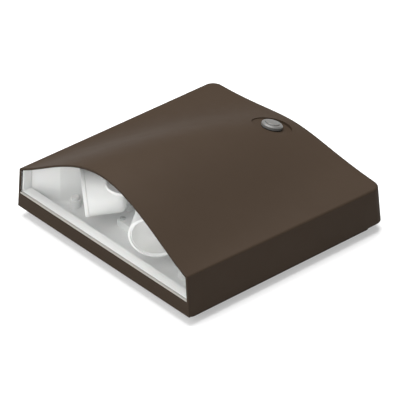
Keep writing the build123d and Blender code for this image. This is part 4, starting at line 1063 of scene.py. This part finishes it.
class WALLPACK_OT_electronics(Operator):
    """Finishes the charger board, the transformer and the terminals"""

    bl_idname = "wallpack.electronics"
    bl_label = "Electronics"

    def execute(self, context):
        works = context.scene.wallpack_works
        dress("charger_board", finish("mask"), 0.1 * MM)
        dress_all(["relay", "capacitors", "terminal_block"], finish("black"), 0.3 * MM)
        dress("heat_sink", finish("sink"), 0.2 * MM)
        dress("fuse", finish("glass"), 0.2 * MM)
        dress("fuse_clips", finish("zinc"), 0.1 * MM)
        dress("transformer_core", finish("core"), 0.2 * MM)
        dress("terminal_screws", finish("zinc"), 0.1 * MM)
        self.wind_coil(works)
        self.place_resistors(works)
        return {"FINISHED"}

    def place_resistors(self, works):
        column_pitch = 9 * MM
        row_pitch = 8 * MM
        centre = middle("charger_board") - Vector((13 * MM, 0, 0))
        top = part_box("charger_board")[1][2]
        resistor = scratch_object("resistor", mesh_from(resistor_builder(), "resistor"))
        points = bmesh.new()
        for row in range(works.resistor_rows):
            y = centre.y + (row - (works.resistor_rows - 1) / 2) * row_pitch
            for column in (-1, 0, 1):
                points.verts.new((centre.x + column * column_pitch, y, top))
        mesh = run_tree(
            "resistor copies",
            repeat_tree(),
            {"Original": resistor, "Turn": 0.0, "Seed": 3, "Material": finish("resistor")},
            mesh_from(points, "resistor points"),
        )
        bpy.data.objects.remove(resistor)
        mesh.shade_smooth()
        mesh.set_sharp_from_angle(angle=WIRE_SHARP_ANGLE)
        new_piece("board_resistors", mesh, finish("resistor"), "back_unit")

    def wind_coil(self, works):
        size = span("transformer_coil")
        low = Vector(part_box("transformer_coil")[0])
        pitch = size.z / works.winding_turns
        wire = pitch / 2
        mesh = run_tree(
            "winding",
            winding_tree(),
            {
                "Width": size.x - 2 * wire,
                "Length": size.y - 2 * wire,
                "Corner Radius": 3.0 * MM,
                "Wire Radius": wire,
                "Turns": works.winding_turns,
                "Pitch": pitch,
                "Material": finish("copper"),
            },
        )
        place = middle("transformer_coil")
        mesh.transform(Matrix.Translation((place.x, place.y, low.z + wire)))
        mesh.shade_smooth()
        mesh.set_sharp_from_angle(angle=WIRE_SHARP_ANGLE)
        winding = new_piece("transformer_winding", mesh, finish("copper"), "back_unit")
        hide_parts("transformer_coil")


class WALLPACK_OT_screws(Operator):
    """Makes the screws, whose heads are domed and crossed"""

    bl_idname = "wallpack.screws"
    bl_label = "Screws"

    def execute(self, context):
        works = context.scene.wallpack_works
        up = (0, 0, 1)
        groups = {
            "bracket_screws": (up, 0.12),
            "clamp_screws": (up, 0.25),
            "board_screws": (up, 0.22),
            "transformer_screws": (up, 0.25),
            "block_screws": (up, 0.22),
            "ground_screw": (up, 0.38),
            "switch_screws": (-BUTTON_AXIS, 0.23),
        }
        for node, (axis, share) in groups.items():
            mesh = make_screws(node, axis, works, share)
            piece = new_piece(node + "_crossed", mesh, finish("zinc"), body_of(node))
            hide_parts(node)
        dress("pan_screws", finish("white"), 0.6 * MM)
        dress_all(["cover_screws", "cover_nuts"], finish("zinc"), 0.2 * MM)
        return {"FINISHED"}


class WALLPACK_PT_panel(Panel):
    """Shows a button for each step and the settings of the studio, the cover and the works"""

    bl_idname = "WALLPACK_PT_panel"
    bl_label = "Wall Pack Light"
    bl_space_type = "VIEW_3D"
    bl_region_type = "UI"
    bl_category = "Wall Pack"

    def draw(self, context):
        for operator in OPERATORS:
            self.layout.operator(operator.bl_idname)
        for group in GROUPS:
            settings = getattr(context.scene, group)
            box = self.layout.box()
            for name in settings.__annotations__:
                box.prop(settings, name)


OPERATORS = (
    WALLPACK_OT_stage,
    WALLPACK_OT_casing,
    WALLPACK_OT_window,
    WALLPACK_OT_button,
    WALLPACK_OT_compartment,
    WALLPACK_OT_heads,
    WALLPACK_OT_battery,
    WALLPACK_OT_electronics,
    WALLPACK_OT_screws,
)
GROUPS = {
    "wallpack_studio": StudioSettings,
    "wallpack_cover": CoverSettings,
    "wallpack_works": WorksSettings,
}


def register():
    for group_class in (*GROUPS.values(), *OPERATORS, WALLPACK_PT_panel):
        bpy.utils.register_class(group_class)
    for name, group_class in GROUPS.items():
        setattr(bpy.types.Scene, name, PointerProperty(type=group_class))


def unregister():
    for name in GROUPS:
        delattr(bpy.types.Scene, name)
    for group_class in reversed((*GROUPS.values(), *OPERATORS, WALLPACK_PT_panel)):
        bpy.utils.unregister_class(group_class)


def main():
    register()
    for operator in OPERATORS:
        area, name = operator.bl_idname.split(".")
        getattr(getattr(bpy.ops, area), name)()


if __name__ == "__main__":
    main()
